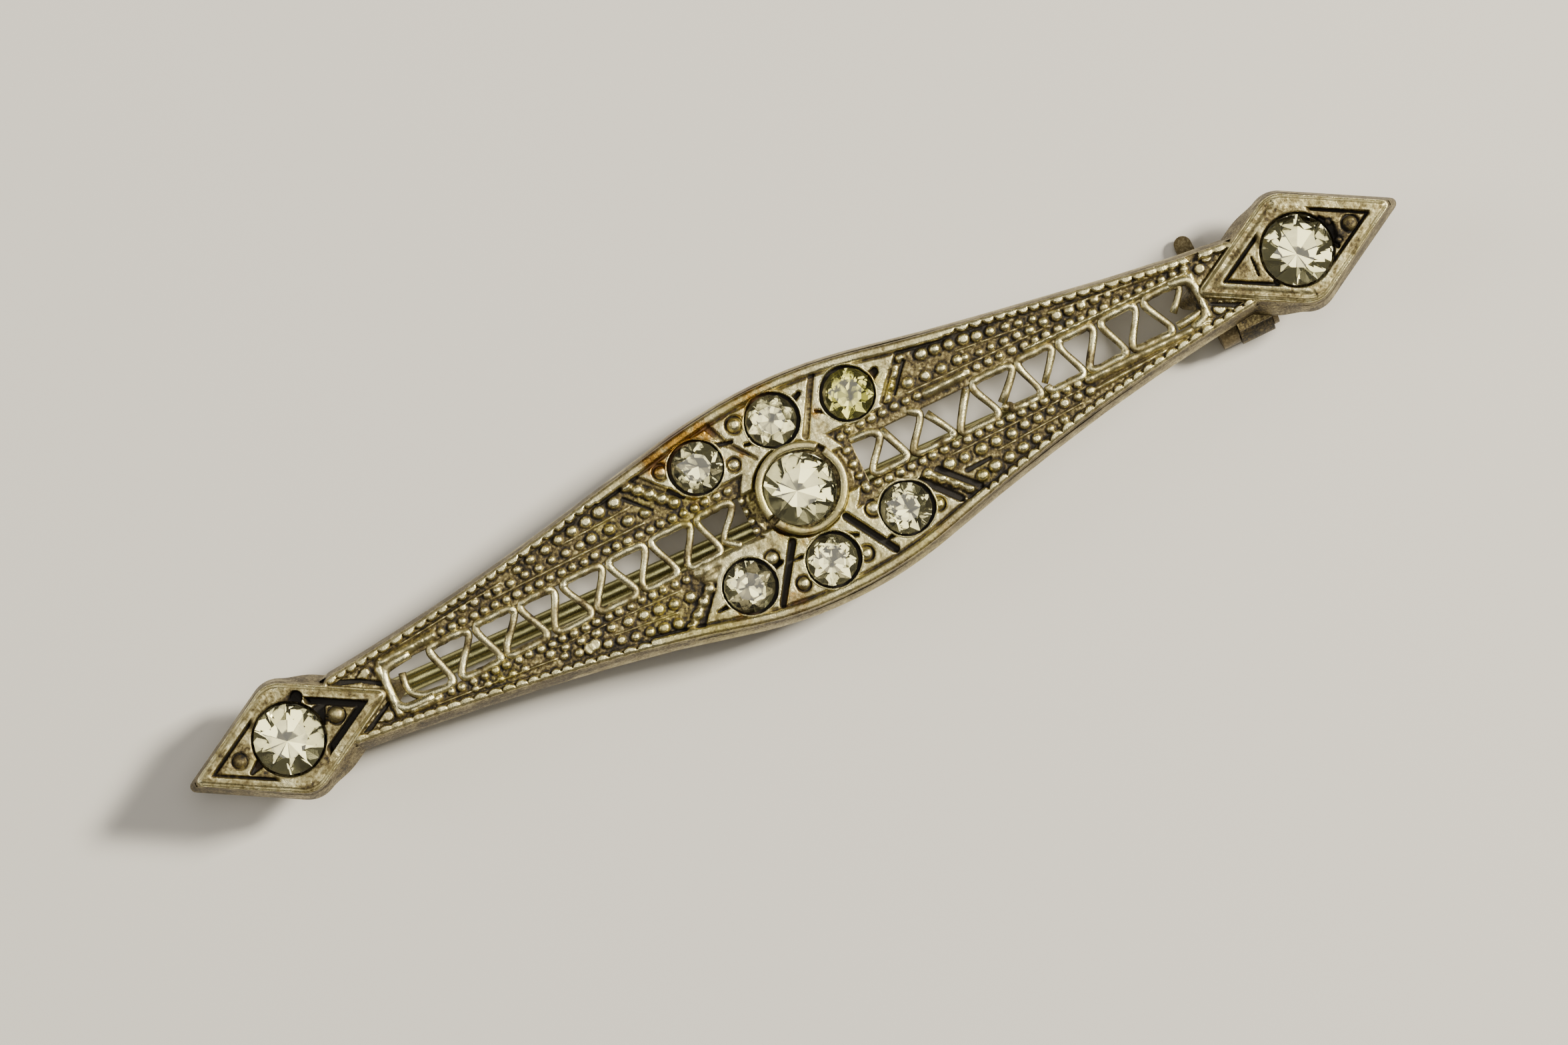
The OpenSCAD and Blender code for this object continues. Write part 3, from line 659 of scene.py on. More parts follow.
def press_rim(relief, side):
    """The rim: a plain worn band beside the centre, milled into half-discs further out."""
    x, y = relief.x, relief.y
    d = x - centre_x
    from_edge = edge_of(x[0], side) - np.abs(y)
    start = np.where(x < 0, *MILLED_FROM[side])
    milled = within(np.abs(x) - start, 0.2)
    fade = 1 - 0.65 * rise(np.abs(d), 16, 19) * (0.6 + 0.4 * side * np.sign(d))
    phase = d / mill_pitch + 0.25 * np.sin(x * 0.9 + side)
    disc = arc(1, 2 * (phase % 1) - 1)
    scallop = milled_w - (milled_w - notch_w) * fade * (1 - disc)
    width = rim_w + (scallop - rim_w) * milled + 0.012 * uneven(x, y, 0.4, 6.1)
    top = rim_z + lumpy(x, y, RIM_LUMPS)
    top = top - 0.06 * (1 - rise(from_edge, 0.0, 0.10)) - milled * 0.05 * (1 - disc)
    top = top - (1 - milled) * 0.03 * rise(from_edge, rim_w - 0.14, rim_w)
    relief.z -= 0.12 * hump(from_edge, width + 0.07, 0.05) * (1 - 0.8 * milled)
    relief.blend(top, rise(width - from_edge, -0.05, 0.06))
    in_notch = from_edge < milled_w * milled
    relief.z = np.where(in_notch, np.maximum(relief.z, notch_floor_z), relief.z)
    if side > 0:
        gap = within(tooth_gap - np.abs(x - tooth_x) * 0.9 - 0.4 * from_edge, 0.03)
        relief.blend(ground_z, gap * rise(0.5 - from_edge, 0, 0.1))


def press_face(relief, side):
    """Presses one half of the long face, above (side 1) or below (side -1) the X axis."""
    x, y = relief.x, relief.y
    relief.z += lumpy(x, y, GROUND_LUMPS)
    press_beads(relief, side)
    press_panels(relief, side)
    press_rim(relief, side)
    everywhere = slice(0, x.shape[1])
    away = np.hypot(x - ring_at[0], y - ring_at[1])
    moat = ground_z - 0.02 + 0.3 * rise(away, moat_r - 0.12, moat_r)
    relief.sink(everywhere, np.where(away < moat_r, moat, untouched))
    for _, sx, sy, r in stone_seats():
        in_seat = (sy * side > 0) & (np.hypot(x - sx, y - sy) < r + seat_gap)
        relief.sink(everywhere, np.where(in_seat, seat_floor_z, untouched))


ground_wear = 0.37
WEAR_LUMPS = [(0.16, 0.15, 5.5), (0.12, 0.6, 6.6)]
# Film on the plain rim and on the lower panels, and half the length of the latter
plain_rim_film = 0.2
lower_panel_film = 0.12
lower_panel_half = 7.0


def wear_of(z):
    """How far each point is rubbed, from its height and from how proud it stands of what
    lies close round it and further round it."""
    proud = np.clip((z - soften(z, 3)) / 0.06, -1.0, 1.2)
    broad = np.clip((z - soften(z, 9)) / 0.15, -0.8, 1.0)
    height = z - ground_z
    level = ground_wear + np.where(height > 0, 1.1 * height, 2.6 * height)
    return np.clip(level + 0.20 * proud + 0.20 * broad, -0.3, 1.2)


# Stains on the face: x, y, reach, strength
BROWN_STAINS = [
    (-3.6, 4.35, 1.1, 1.0), (-2.4, 4.35, 0.75, 0.9), (-4.9, 4.05, 0.9, 0.9), (-1.3, 4.45, 0.5, 0.5),
    (-1.9, -4.30, 0.8, 0.6), (-4.4, -3.90, 0.8, 0.5), (2.55, 2.85, 0.35, 0.7), (-2.1, 2.75, 0.5, 0.45),
    (-0.2, -1.95, 0.7, 0.5), (-4.2, 1.75, 0.7, 0.45), (5.6, -4.25, 0.8, 0.4), (-26.85, -0.42, 0.3, 0.5),
    (-1.1, -1.35, 0.55, 0.6), (-1.3, 2.62, 0.3, 0.6), (-2.9, 4.45, 0.7, 0.6), (0.2, 4.95, 1.6, 0.7),
    (1.4, -1.75, 0.5, 0.3), (-5.5, 4.3, 0.9, 0.35), (2.6, 4.8, 1.0, 0.35), (5.3, 3.3, 0.6, 0.45)]
YELLOW_STAINS = [
    (-4.5, 1.55, 1.4, 0.8), (-6.2, 2.70, 1.1, 0.6), (-8.2, 2.20, 0.9, 0.7), (-7.4, -2.5, 1.5, 0.75),
    (-6.2, -3.60, 0.9, 0.7), (3.3, 1.75, 0.9, 0.45), (6.0, 2.45, 0.55, 0.9), (8.1, -2.9, 0.6, 0.7),
    (8.5, -1.85, 0.5, 0.6), (0.2, 4.80, 2.2, 0.8), (5.7, -3.2, 0.4, 0.9), (-5.4, -4.20, 2.2, 0.6),
    (-26.85, -0.42, 0.4, 0.9), (4.2, -4.60, 2.0, 0.5), (-15.2, -1.6, 1.0, 0.75), (-3.4, 4.6, 2.0, 0.7),
    (0.9, -4.7, 2.2, 0.5), (-21.5, 0.9, 1.6, 0.35), (5.5, 3.1, 0.8, 0.8), (0.5, 3.2, 3.4, 0.45),
    (0.5, -3.0, 3.4, 0.56), (-1.3, 0.5, 1.3, 0.7), (1.9, -1.1, 1.1, 0.6), (-0.9, -1.7, 0.8, 0.8)]


def stain_at(x, y, stains):
    """The strongest stain at each place."""
    total = np.zeros(np.shape(x))
    for sx, sy, reach, strength in stains:
        total = np.maximum(total, strength * hump(np.hypot(x - sx, y - sy), 0, reach))
    return total


def carry(bm, wear, x, y):
    """Writes the wear and the stains on a mesh's points, in their order."""
    values = {"wear": wear, "brown": stain_at(x, y, BROWN_STAINS), "yellow": stain_at(x, y, YELLOW_STAINS)}
    for name, amounts in values.items():
        layer = bm.verts.layers.float.new(name)
        for vert, amount in zip(bm.verts, np.ravel(amounts)):
            vert[layer] = float(amount)


def place_points(bm, x, y, z, wear):
    """Puts a mesh's points in their places, in their order, with their wear and stains."""
    for vert, place in zip(bm.verts, np.stack([x, y, z], -1).reshape(-1, 3)):
        vert.co = place
    carry(bm, wear, x, y)


def cast_piece(name, bm, smooth=True):
    """Turns a mesh into a cast piece of the brooch."""
    for face in bm.faces:
        face.smooth = smooth
    piece = mesh_object(name, bm, cast_metal)
    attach(piece, "brooch")
    return piece


# Outline of the lozenges, which the long face ends at, and the middle of each
LOZENGE_MIDDLES = [(-25, 0), (25, 0.13)]
lozenge_half_l = 4.85
lozenge_half_w = 2.75
lozenge_corner_r = 1.2
lozenge_tip_r = 0.25
side_slope = math.atan2(lozenge_half_w, lozenge_half_l)
side_away = lozenge_half_l * math.sin(side_slope)
corner_y = lozenge_half_w - lozenge_corner_r / math.cos(side_slope)
tip_x = lozenge_half_l - lozenge_tip_r / math.sin(side_slope)


def from_lozenge_edge(x, y):
    """Distance inward from the edge of a lozenge, from places measured from its middle."""
    side = side_away - np.abs(x) * math.sin(side_slope) - np.abs(y) * math.cos(side_slope)
    over = np.abs(y) - corner_y
    return np.where(np.abs(x) < over * math.tan(side_slope), lozenge_corner_r - np.hypot(x, over), side)


# Rows down the outer wall: share of its spread there, height and wear; the low wear below the top row is
# painted shade, for a wall in shadow
WALL_ROWS = [(0.06, rim_z - 0.09, 0.5), (0.16, rim_z - 0.3, 0.26), (0.44, 4.2, 0.2), (0.72, 3.6, 0.18),
             (1.0, back_z + 0.06, 0.24), (0.94, back_z + 0.005, 0.24), (0.6, back_z - 0.01, 0.3)]
# How far the wall spreads along the bar: more at the ends than beside the centre
SPREAD_AT = ([-rim_end_x, -8, centre_x, 8, rim_end_x], [0.32, 0.28, 0.14, 0.2, 0.26])
# What is open under the stones and the ring, and how far the face reaches under a lozenge
stone_hole_in = 0.15
ring_hole_r = 1.5
lozenge_overlap = 0.12

window_ends = (-window_end_x, centre_x - window_in_d, centre_x + window_in_d, window_end_x)
columns = even_steps([-rim_end_x, *window_ends, rim_end_x], cell)


def between_window_ends(x, slack):
    """Whether x lies along one of the two windows."""
    a, b, c, d = window_ends
    return ((x > a - slack) & (x < b + slack)) | ((x > c - slack) & (x < d + slack))


def on_window_edge(edge):
    """Whether a mesh edge borders a window, and isn't where the halves meet."""
    ys = [abs(v.co.y) for v in edge.verts]
    return (edge.is_boundary and max(ys) > 1e-6 and max(ys) < window_half_h + 1e-4
            and all(between_window_ends(v.co.x, 1e-4) for v in edge.verts))


def face_half(name, side):
    """One half of the long face with its outer wall, from the X axis out."""
    edge = edge_of(columns, side)
    inner = np.linspace(0, window_half_h, window_rows + 1)[:, None] + 0 * columns
    outer = window_half_h + np.linspace(0, 1, beaded_rows + 1)[1:, None] * (edge - window_half_h)
    y = side * np.vstack([inner, outer])
    x = np.broadcast_to(columns, y.shape)
    relief = Relief(x, y, np.full(y.shape, ground_z))
    press_face(relief, side)
    wear = wear_of(relief.z) + lumpy(x, y, WEAR_LUMPS)
    away = np.abs(x - centre_x)
    plain_rim = rise(plain_rim_w - edge + np.abs(y), -0.05, 0.1) * within(plain_rim_end - away, 0.8)
    wear = wear - plain_rim_film * plain_rim
    if side < 0:
        wear = wear - lower_panel_film * rise(np.abs(y), 1.2, 2.2) * rise(lower_panel_half - away, 0, 1)
    # The wall rows carry the low wear listed for them: painted shade down the wall.
    out, low_z, worn = (np.array(column)[:, None] + 0 * columns for column in zip(*WALL_ROWS))
    y = np.vstack([y, side * (edge + out * np.interp(columns, *SPREAD_AT))])
    x = np.broadcast_to(columns, y.shape)
    z, wear = np.vstack([relief.z, low_z]), np.vstack([wear, worn])
    cx, cy = (x[:-1, :-1] + x[1:, 1:]) / 2, (y[:-1, :-1] + y[1:, 1:]) / 2
    open_cells = np.hypot(cx - ring_at[0], cy - ring_at[1]) < ring_hole_r
    open_cells[:window_rows] |= between_window_ends(cx[:window_rows], 0)
    for _, sx, sy, r in stone_seats():
        open_cells |= np.hypot(cx - sx, cy - sy) < r - stone_hole_in
    for lx, ly in LOZENGE_MIDDLES:
        open_cells |= from_lozenge_edge(cx - lx, cy - ly) > lozenge_overlap
    if side < 0:
        x, y, z, wear, open_cells = (a[::-1] for a in (x, y, z, wear, open_cells))
    bm = bmesh.new()
    bmesh.ops.create_grid(bm, x_segments=x.shape[1] - 1, y_segments=x.shape[0] - 1, size=1)
    place_points(bm, x, y, z, wear)
    bm.faces.ensure_lookup_table()
    bmesh.ops.delete(bm, geom=[bm.faces[i] for i in np.flatnonzero(open_cells)], context="FACES")
    lip = [edge for edge in bm.edges if on_window_edge(edge)]
    for part in bmesh.ops.extrude_edge_only(bm, edges=lip)["geom"]:
        if isinstance(part, bmesh.types.BMVert):
            part.co.z = window_foot_z
    return cast_piece(name, bm)


face_half("face_upper", 1)
face_half("face_lower", -1)


# The lozenges at both ends, cast with the bar: a flat rim with worn edges and a painted highlight
# along them, a channel inside it darkened with painted shade, and a small plate with one ring-cut bead on
# each side of the stone.
lozenge_z = 4.95
lozenge_plate_z = 4.78
lozenge_cut_z = 4.38
lozenge_wear = 0.47
LOZENGE_LUMPS = [(0.025, 0.6, 2), (0.012, 0.16, 4)]
LOZENGE_WEAR_LUMPS = [(0.36, 0.7, 8), (0.32, 0.2, 9)]
lozenge_edge_w = 0.26
lozenge_edge_drop = 0.16
lozenge_soft = 0.03
# The channel fades in between these distances from the middle: beside the stone there is none
FLANK_FROM = (1.15, 1.5)
hole_r = 1.72
# Spread of the outer wall, and how much more it spreads toward the long face
lozenge_spread = 0.30
skirt_spread = 0.26
# Steps round a lozenge, and across it from the hole to its edge
around, across = 340, 50
# Rows down its outer wall, as for the long face and with the same painted shade, and down the hole: radius
# and height
LOZENGE_WALL = [(0.06, lozenge_z - 0.15, 0.5), (0.14, lozenge_z - 0.4, 0.3), (0.4, 4.0, 0.22),
                (1.0, back_z + 0.06, 0.26), (0.93, back_z + 0.005, 0.26), (0.6, back_z - 0.01, 0.3)]
HOLE_WALL = [(hole_r - 0.015, 4.55), (hole_r - 0.02, 4.35), (hole_r - 0.02, 4.1)]
hole_rows = len(HOLE_WALL)


def lozenge_radius(turn):
    """Distance from the middle of a lozenge to its edge, in each direction."""
    c, s = np.abs(np.cos(turn)), np.abs(np.sin(turn))
    straight = side_away / (c * math.sin(side_slope) + s * math.cos(side_slope))
    corner = corner_y * s + arc(lozenge_corner_r, corner_y * c)
    tip = tip_x * c + arc(lozenge_tip_r, tip_x * s)
    on_corner = s * straight > corner_y + lozenge_corner_r * math.cos(side_slope) - 1e-9
    on_tip = c * straight > tip_x + lozenge_tip_r * math.sin(side_slope) - 1e-9
    return np.where(on_corner, corner, np.where(on_tip, tip, straight))


def lozenge_height(x, y, inward, radius, form):
    """Height over a lozenge; inward is the distance from its edge, radius that from its stone."""
    seed = form["seed"]
    rim, channel_w, floor = (np.where(x < 0, *form[key]) for key in ("rim", "channel", "floor"))
    z = lozenge_plate_z + form["bulge"] * hump(y, 0, 0.5) * (x < 0) + 0.015 * uneven(x, y, 0.3, seed)
    for bx, by, d, ring in form["beads"]:
        away = np.hypot(x - bx, y - by)
        z = z - ring * hump(away, d / 2 + 0.04, 0.045)
        dome = lozenge_plate_z - 0.08 + 0.7 * arc(d / 2, away)
        z = np.where(away < d / 2, np.maximum(z, dome), z)
    flank = rise(np.abs(x), *FLANK_FROM)
    channel = rise(inward, rim, rim + 0.05) * within(rim + channel_w - inward, lozenge_soft) * flank
    z = z + (floor - z) * channel
    top = lozenge_z + lumpy(x, y, LOZENGE_LUMPS, seed)
    top = top - form["hollow"] * hump(inward, 0.3, 0.14) * (x < 0)
    top = top - lozenge_edge_drop * (1 - rise(inward, 0, lozenge_edge_w)) ** 2
    z = z + (top - z) * np.maximum(within(rim + lozenge_soft - inward, lozenge_soft), 1 - flank)
    z = np.minimum(z, lozenge_z - 0.02 + 0.06 * rise(radius, hole_r, hole_r + 0.12))
    for *ends, w0, w1 in form["cuts"]:
        away, along = from_line(x, y, ends)
        cut = rise((w0 + (w1 - w0) * along) / 2 - away, -0.03, 0.04)
        z = z + (np.minimum(z, lozenge_cut_z) - z) * cut
    for bx, by, d, foot_z in form["claws"]:
        away = np.hypot(x - bx, y - by)
        z = np.where(away < d / 2, foot_z + 0.6 * arc(d / 2, away), z)
    return z


def wear_of_lozenge(x, y, z, inward, step, form):
    """Wear on a lozenge: rubbed rim edges with a painted highlight, and a channel and hole darkened with
    painted shade.
    """
    painted_shade_depth = np.clip((lozenge_z - z) / 0.5, 0, 1)
    rim = np.where(x < 0, *form["rim"])
    # Painted highlight: lighter lines along the outer and the inner edge of the rim, over their wear.
    edge_wear_and_highlight = 0.34 * hump(inward, 0.06, 0.10) + 0.16 * hump(inward, rim - 0.03, 0.06)
    patch = lumpy(x, y, LOZENGE_WEAR_LUMPS, form["seed"])
    # Painted shade: the deeper a point lies below the rim, in the channel, the darker it is.
    wear = lozenge_wear + edge_wear_and_highlight + patch - 1.7 * np.maximum(painted_shade_depth - 0.38, 0) - 0.1 * painted_shade_depth
    wear = wear - form["dull"] * hump(x, 2.3, 0.8) * hump(y, 0, 0.7)
    # Painted shade: the wall down the stone's hole is set nearly black.
    return np.clip(np.where(step < 0, 0.05, wear), -0.2, 1.2)


def spin_round(chain, steps):
    """A chain of (radius, height) points spun round Z: the mesh, and its points' radii, turns
    and heights."""
    bm = bmesh.new()
    verts = [bm.verts.new((r, 0, z)) for r, z in chain]
    edges = [bm.edges.new(pair) for pair in zip(verts, verts[1:])]
    bmesh.ops.spin(bm, geom=verts + edges, cent=(0, 0, 0), axis=(0, 0, 1), angle=math.tau,
                   steps=steps, use_merge=True)
    x, y, z = np.array([v.co for v in bm.verts]).T
    return bm, np.hypot(x, y), np.arctan2(y, x), z


def spun_piece(name, bm, x, y, z, wear):
    """A spun mesh with its points put in place, as a cast piece whose faces look out."""
    place_points(bm, x, y, z, wear)
    bmesh.ops.recalc_face_normals(bm, faces=bm.faces)
    if sum(f.normal.z * f.calc_area() for f in bm.faces) < 0:
        bmesh.ops.reverse_faces(bm, faces=bm.faces)
    return cast_piece(name, bm)


def lozenge(name, middle, stone, form):
    """One lozenge: a chain of points from the stone's hole to the foot of its wall, spun round.
    A point's step is 0 at the hole's edge, below 0 down the hole and over across down the wall."""
    points = range(across + hole_rows + len(LOZENGE_WALL))
    bm, radius, turn, _ = spin_round([(i + 1, 0) for i in points], around)
    step = np.round(radius).astype(int) - hole_rows - 1
    edge = lozenge_radius(turn)
    share = np.clip(step / across, 0, 1) ** 0.8
    hole_x, hole_y = np.array(middle_of(stone)) - middle
    radius = hole_r + (edge - hole_r) * share
    x = radius * np.cos(turn) + hole_x * (1 - share)
    y = radius * np.sin(turn) + hole_y * (1 - share)
    inward = np.where(step >= across, 0, np.maximum(from_lozenge_edge(x, y), 0))
    z = lozenge_height(x, y, inward, np.hypot(x - hole_x, y - hole_y), form)
    for row, (depth_r, depth_z) in enumerate(HOLE_WALL, 1):
        here = step == -row
        x = np.where(here, depth_r * np.cos(turn) + hole_x, x)
        y = np.where(here, depth_r * np.sin(turn) + hole_y, y)
        z = np.where(here, np.minimum(z, depth_z), z)
    wear = wear_of_lozenge(x, y, z, inward, step, form)
    spread = lozenge_spread + skirt_spread * rise(-math.copysign(1, middle[0]) * np.cos(turn), 0.2, 0.7)
    # Its wall rows take the low wear listed for them: painted shade down the wall.
    for row, (out, wall_z, worn) in enumerate(LOZENGE_WALL, 1):
        here = step == across + row
        reach = edge * (side_away + out * spread) / side_away
        x, y = np.where(here, reach * np.cos(turn), x), np.where(here, reach * np.sin(turn), y)
        z, wear = np.where(here, wall_z, z), np.where(here, worn, wear)
    return spun_piece(name, bm, x + middle[0], y + middle[1], z, wear)


# Pairs hold the left and the right half, and places are from the middle of the lozenge.
# Beads: x, y, diameter, depth of the ring cut round them. Cuts: x and y of both ends, width
# at both ends. Claws, which lie over the channel: x, y, diameter, height of the foot.
left_form = {
    "seed": 21, "rim": (0.41, 0.47), "channel": (0.15, 0.34), "floor": (4.58, 4.36),
    "bulge": 0, "hollow": 0, "dull": 0,
    "beads": [(-2.52, 0.06, 0.60, 0.14), (2.28, 0.06, 0.74, 0.2)],
    "cuts": [(0.84, 1.40, 0.98, 1.56, 0.60, 0.60), (1.62, 0.0, 1.64, 0.55, 0.24, 0.62),
             (1.70, 0.62, 2.0, 0.72, 0.40, 0.20), (-1.75, -0.42, -2.25, -0.66, 0.44, 0.16)],
    "claws": []}
right_form = {
    "seed": 33, "rim": (0.60, 0.50), "channel": (0.18, 0.15), "floor": (4.52, 4.56),
    "bulge": 0.1, "hollow": 0.07, "dull": 0.2,
    "beads": [(2.74, -0.09, 0.68, 0.2)],
    "cuts": [(-1.30, -1.06, -1.34, -1.0, 0.28, 0.28), (1.62, 0.72, 1.88, 0.2, 0.20, 0.42),
             (1.88, 0.2, 1.82, -0.75, 0.42, 0.22), (-1.90, 0.45, -1.95, -0.4, 0.07, 0.07)],
    "claws": [(1.92, 0.42, 0.30, 4.6), (2.0, -0.53, 0.34, 4.6)]}
lozenge("lozenge_left", LOZENGE_MIDDLES[0], "stone_hinge_end", left_form)
lozenge("lozenge_right", LOZENGE_MIDDLES[1], "stone_catch_end", right_form)


# The ring that holds the centre stone stands up out of the face. It was cut through on
# two opposite sides when the metal was pushed over the stone.
ring_outer_r = 2.09
ring_inner_r = 1.75
ring_aside = 0.09
ring_top_z = 5.15
cut_foot_z = 4.45
ring_steps = 288
ring_wear = 0.66
# Direction and half width of each cut, in degrees and in radians
RING_CUTS = [(40, 0.088), (203, 0.088)]
# Points over its section: radius over that of its outer or inner side, height
OUTER_SIDE = [(0.02, 4.25), (0.01, 4.85), (0, 5.04), (-0.03, 5.12), (-0.09, ring_top_z)]
INNER_SIDE = [(0.14, ring_top_z), (0.05, 5.14), (0.01, 5.09), (0, 4.98), (-0.01, 4.7), (-0.02, 4.15)]


def turn_away(turn, degrees):
    """Angle between turn and a direction, from 0 to pi."""
    return np.abs((turn - math.radians(degrees) + math.pi) % math.tau - math.pi)


def centre_ring():
    chain = [(ring_outer_r + out, z) for out, z in OUTER_SIDE]
    chain += [(ring_inner_r + out, z) for out, z in INNER_SIDE]
    bm, radius, turn, z = spin_round(chain, ring_steps)
    wobble = 0.02 * np.sin(3 * turn + 0.6) + 0.012 * np.sin(7 * turn + 2)
    radius = radius + np.where(radius < 1.9, wobble - 0.01, 0.5 * wobble)
    for degrees, half in RING_CUTS:
        cut = within(half - turn_away(turn, degrees), 0.02)
        z = np.where(z > cut_foot_z, z - (z - cut_foot_z) * cut, z)
    dip = 0.03 * np.sin(2 * turn + 1) + 0.02 * np.sin(5 * turn)
    z = np.where(z > 5, z + dip - 0.02, z)
    # Its inner and outer edges are lighter: rubbed edges with a painted highlight.
    edge_wear_and_highlight = 0.22 * hump(radius, ring_inner_r, 0.05) + 0.1 * hump(radius, ring_outer_r, 0.06)
    wear = np.clip(ring_wear + edge_wear_and_highlight - 1.1 * np.clip(5.05 - z, 0, 0.6), 0, 1.1)
    x = ring_at[0] + ring_aside + radius * np.cos(turn)
    y = ring_at[1] + radius * np.sin(turn)
    return spun_piece("ring_of_centre_stone", bm, x, y, z, wear)


centre_ring()


# The drilled seats of the six small stones: a thin bright edge thrown up by the drill,
# broken here and there, over a straight wall darkened with painted shade.
seat_edge_out = 0.15
seat_steps = 160
seat_wear = 0.85
# Points over its section: radius over that of the edge, height over the panel
SEAT_SIDE = [(0.06, -0.06), (0.035, 0.01), (0, 0.035), (-0.03, 0.01), (-0.045, -0.06), (-0.05, -0.5)]


def noise_round(turn, lumps, seed):
    """Smooth noise round a ring; more lumps, shorter ones."""
    return np.array([noise.noise(Vector((math.cos(a) * lumps, math.sin(a) * lumps, seed))) for a in turn])


def stone_seat(name, sx, sy, r, seed):
    edge_r = r + seat_edge_out
    chain = [(edge_r + out, panel_z + up) for out, up in SEAT_SIDE]
    bm, radius, turn, z = spin_round(chain, seat_steps)
    lump, fine = noise_round(turn, 1.3, seed), noise_round(turn, 6, seed)
    radius = radius + 0.05 * lump + 0.012 * fine
    z = np.where(z > panel_z - 0.02, z + 0.09 * lump + 0.02 * fine - 0.01, z)
    # Painted shade: the seat's wall grows dark as it goes down.
    wear = np.clip(seat_wear - 2.2 * np.clip(panel_z - z, 0, 0.5), 0, 1)
    return spun_piece(name, bm, sx + radius * np.cos(turn), sy + radius * np.sin(turn), z, wear)


for order, (stone, sx, sy, r) in enumerate(stone_seats()):
    stone_seat(stone.replace("stone", "seat"), sx, sy, r, order * 3.7)


# The wire lattice in each window: one cast wire that swings from edge to edge in wide
# loops, pinched where they meet. It is broken in some places, more of them on the right.
wire_d = 0.32
frame_d = 0.38
lattice_z = 4.42
frame_z = lattice_z + 0.08
left_level = (1.0, -1.0)
right_level = (1.06, -0.90)
bar_end = 0.22
lump_pitch = 0.57
wire_wear = 0.36
WIRE_WEAR_LUMPS = [(0.75, 0.6, 4.0), (0.4, 0.15, 8.0)]


def along_edge(x0, x1, level):
    """One bar of the wire along an edge of the window, from its widest place to its widest."""
    length = x1 - x0 - 2 * bar_end
    lumps = max(2, round(length / lump_pitch * 2))
    bar = [(x0 + bar_end + length * i / lumps, level) for i in range(lumps + 1)]
    start = [(x0, 0.6 * level), (x0 + 0.03, 0.88 * level)]
    return start + bar + [(x1 - 0.03, 0.88 * level), (x1, 0.6 * level)]


def swinging(levels, tops, bottoms, top_first):
    """A run of wire over bars that take turns between the two edges."""
    first, second = (tops, bottoms) if top_first else (bottoms, tops)
    order = levels if top_first else levels[::-1]
    run = []
    for i, bar in enumerate(first):
        run += along_edge(*bar, order[0])
        if i < len(second):
            run += along_edge(*second[i], order[1])
    return run


# Where the bars begin and end, from left to right
LEFT_TOPS = [(-17.75, -15.84), (-15.48, -13.54), (-13.24, -11.54), (-11.09, -9.18), (-8.82, -7.03),
             (-6.70, -4.79), (-4.43, -2.70)]
LEFT_BOTTOMS = [(-16.88, -14.94), (-14.64, -12.64), (-12.19, -10.40), (-10.1, -8.19), (-7.84, -6.13),
                (-5.63, -3.99)]
hook = [(-19.27, 0.47), (-19.36, 0.1), (-19.36, -0.3), (-19.2, -0.62), (-18.75, -0.88), (-18.2, -0.98),
        (-17.6, -1.0), (-17.36, -0.9), (-17.33, -0.6)]
last_loop = [(-3.74, -0.42), (-3.62, -0.62), (-3.3, -0.86), (-3.05, -1.05)]
wire_runs = [
    hook + swinging(left_level, LEFT_TOPS, LEFT_BOTTOMS, True) + last_loop,
    [(3.35, 1.1), (3.9, 1.08), (4.4, 1.02), (4.62, 0.8), (4.62, 0.55)]
    + along_edge(3.69, 5.40, -0.80) + [(4.79, 0.90)],
    [(6.2, 1.15), (6.55, 1.02), (6.76, 0.7)] + along_edge(5.72, 7.69, -0.80) + [(6.94, 0.67)],
    [(9.03, 0.88)] + along_edge(8.01, 9.90, -0.90) + along_edge(9.33, 11.30, 1.06) + [(10.22, -0.40)],
    [(10.13, -0.5), (10.3, -0.7)] + swinging(right_level, [(11.57, 13.27)], [(10.49, 12.0)], False)
    + [(12.33, -0.42)],
    swinging(right_level, [(13.63, 15.33), (15.72, 17.45), (17.87, 19.6)],
             [(12.37, 14.13), (14.46, 16.25), (16.6, 18.55)], False) + [(18.88, -0.12)],
    [(18.79, -0.75), (19.4, -0.72), (20.1, -0.55)]]
frame_runs = [
    [(-18.6, 1.1), (-19.5, 1.08), (-19.95, 0.95), (-20.08, 0.6), (-20.1, -0.5), (-20.0, -0.95),
     (-19.6, -1.12), (-18.4, -1.12)],
    [(19.2, 1.12), (19.9, 1.05), (20.22, 0.8), (20.28, 0.2), (20.26, -0.6), (20.05, -0.98), (19.4, -1.12)]]


def in_mm(mesh):
    """A bmesh of a mesh that is in metres."""
    bm = bmesh.new()
    bm.from_mesh(mesh)
    bmesh.ops.scale(bm, vec=(1 / mm, 1 / mm, 1 / mm), verts=bm.verts)
    return bm


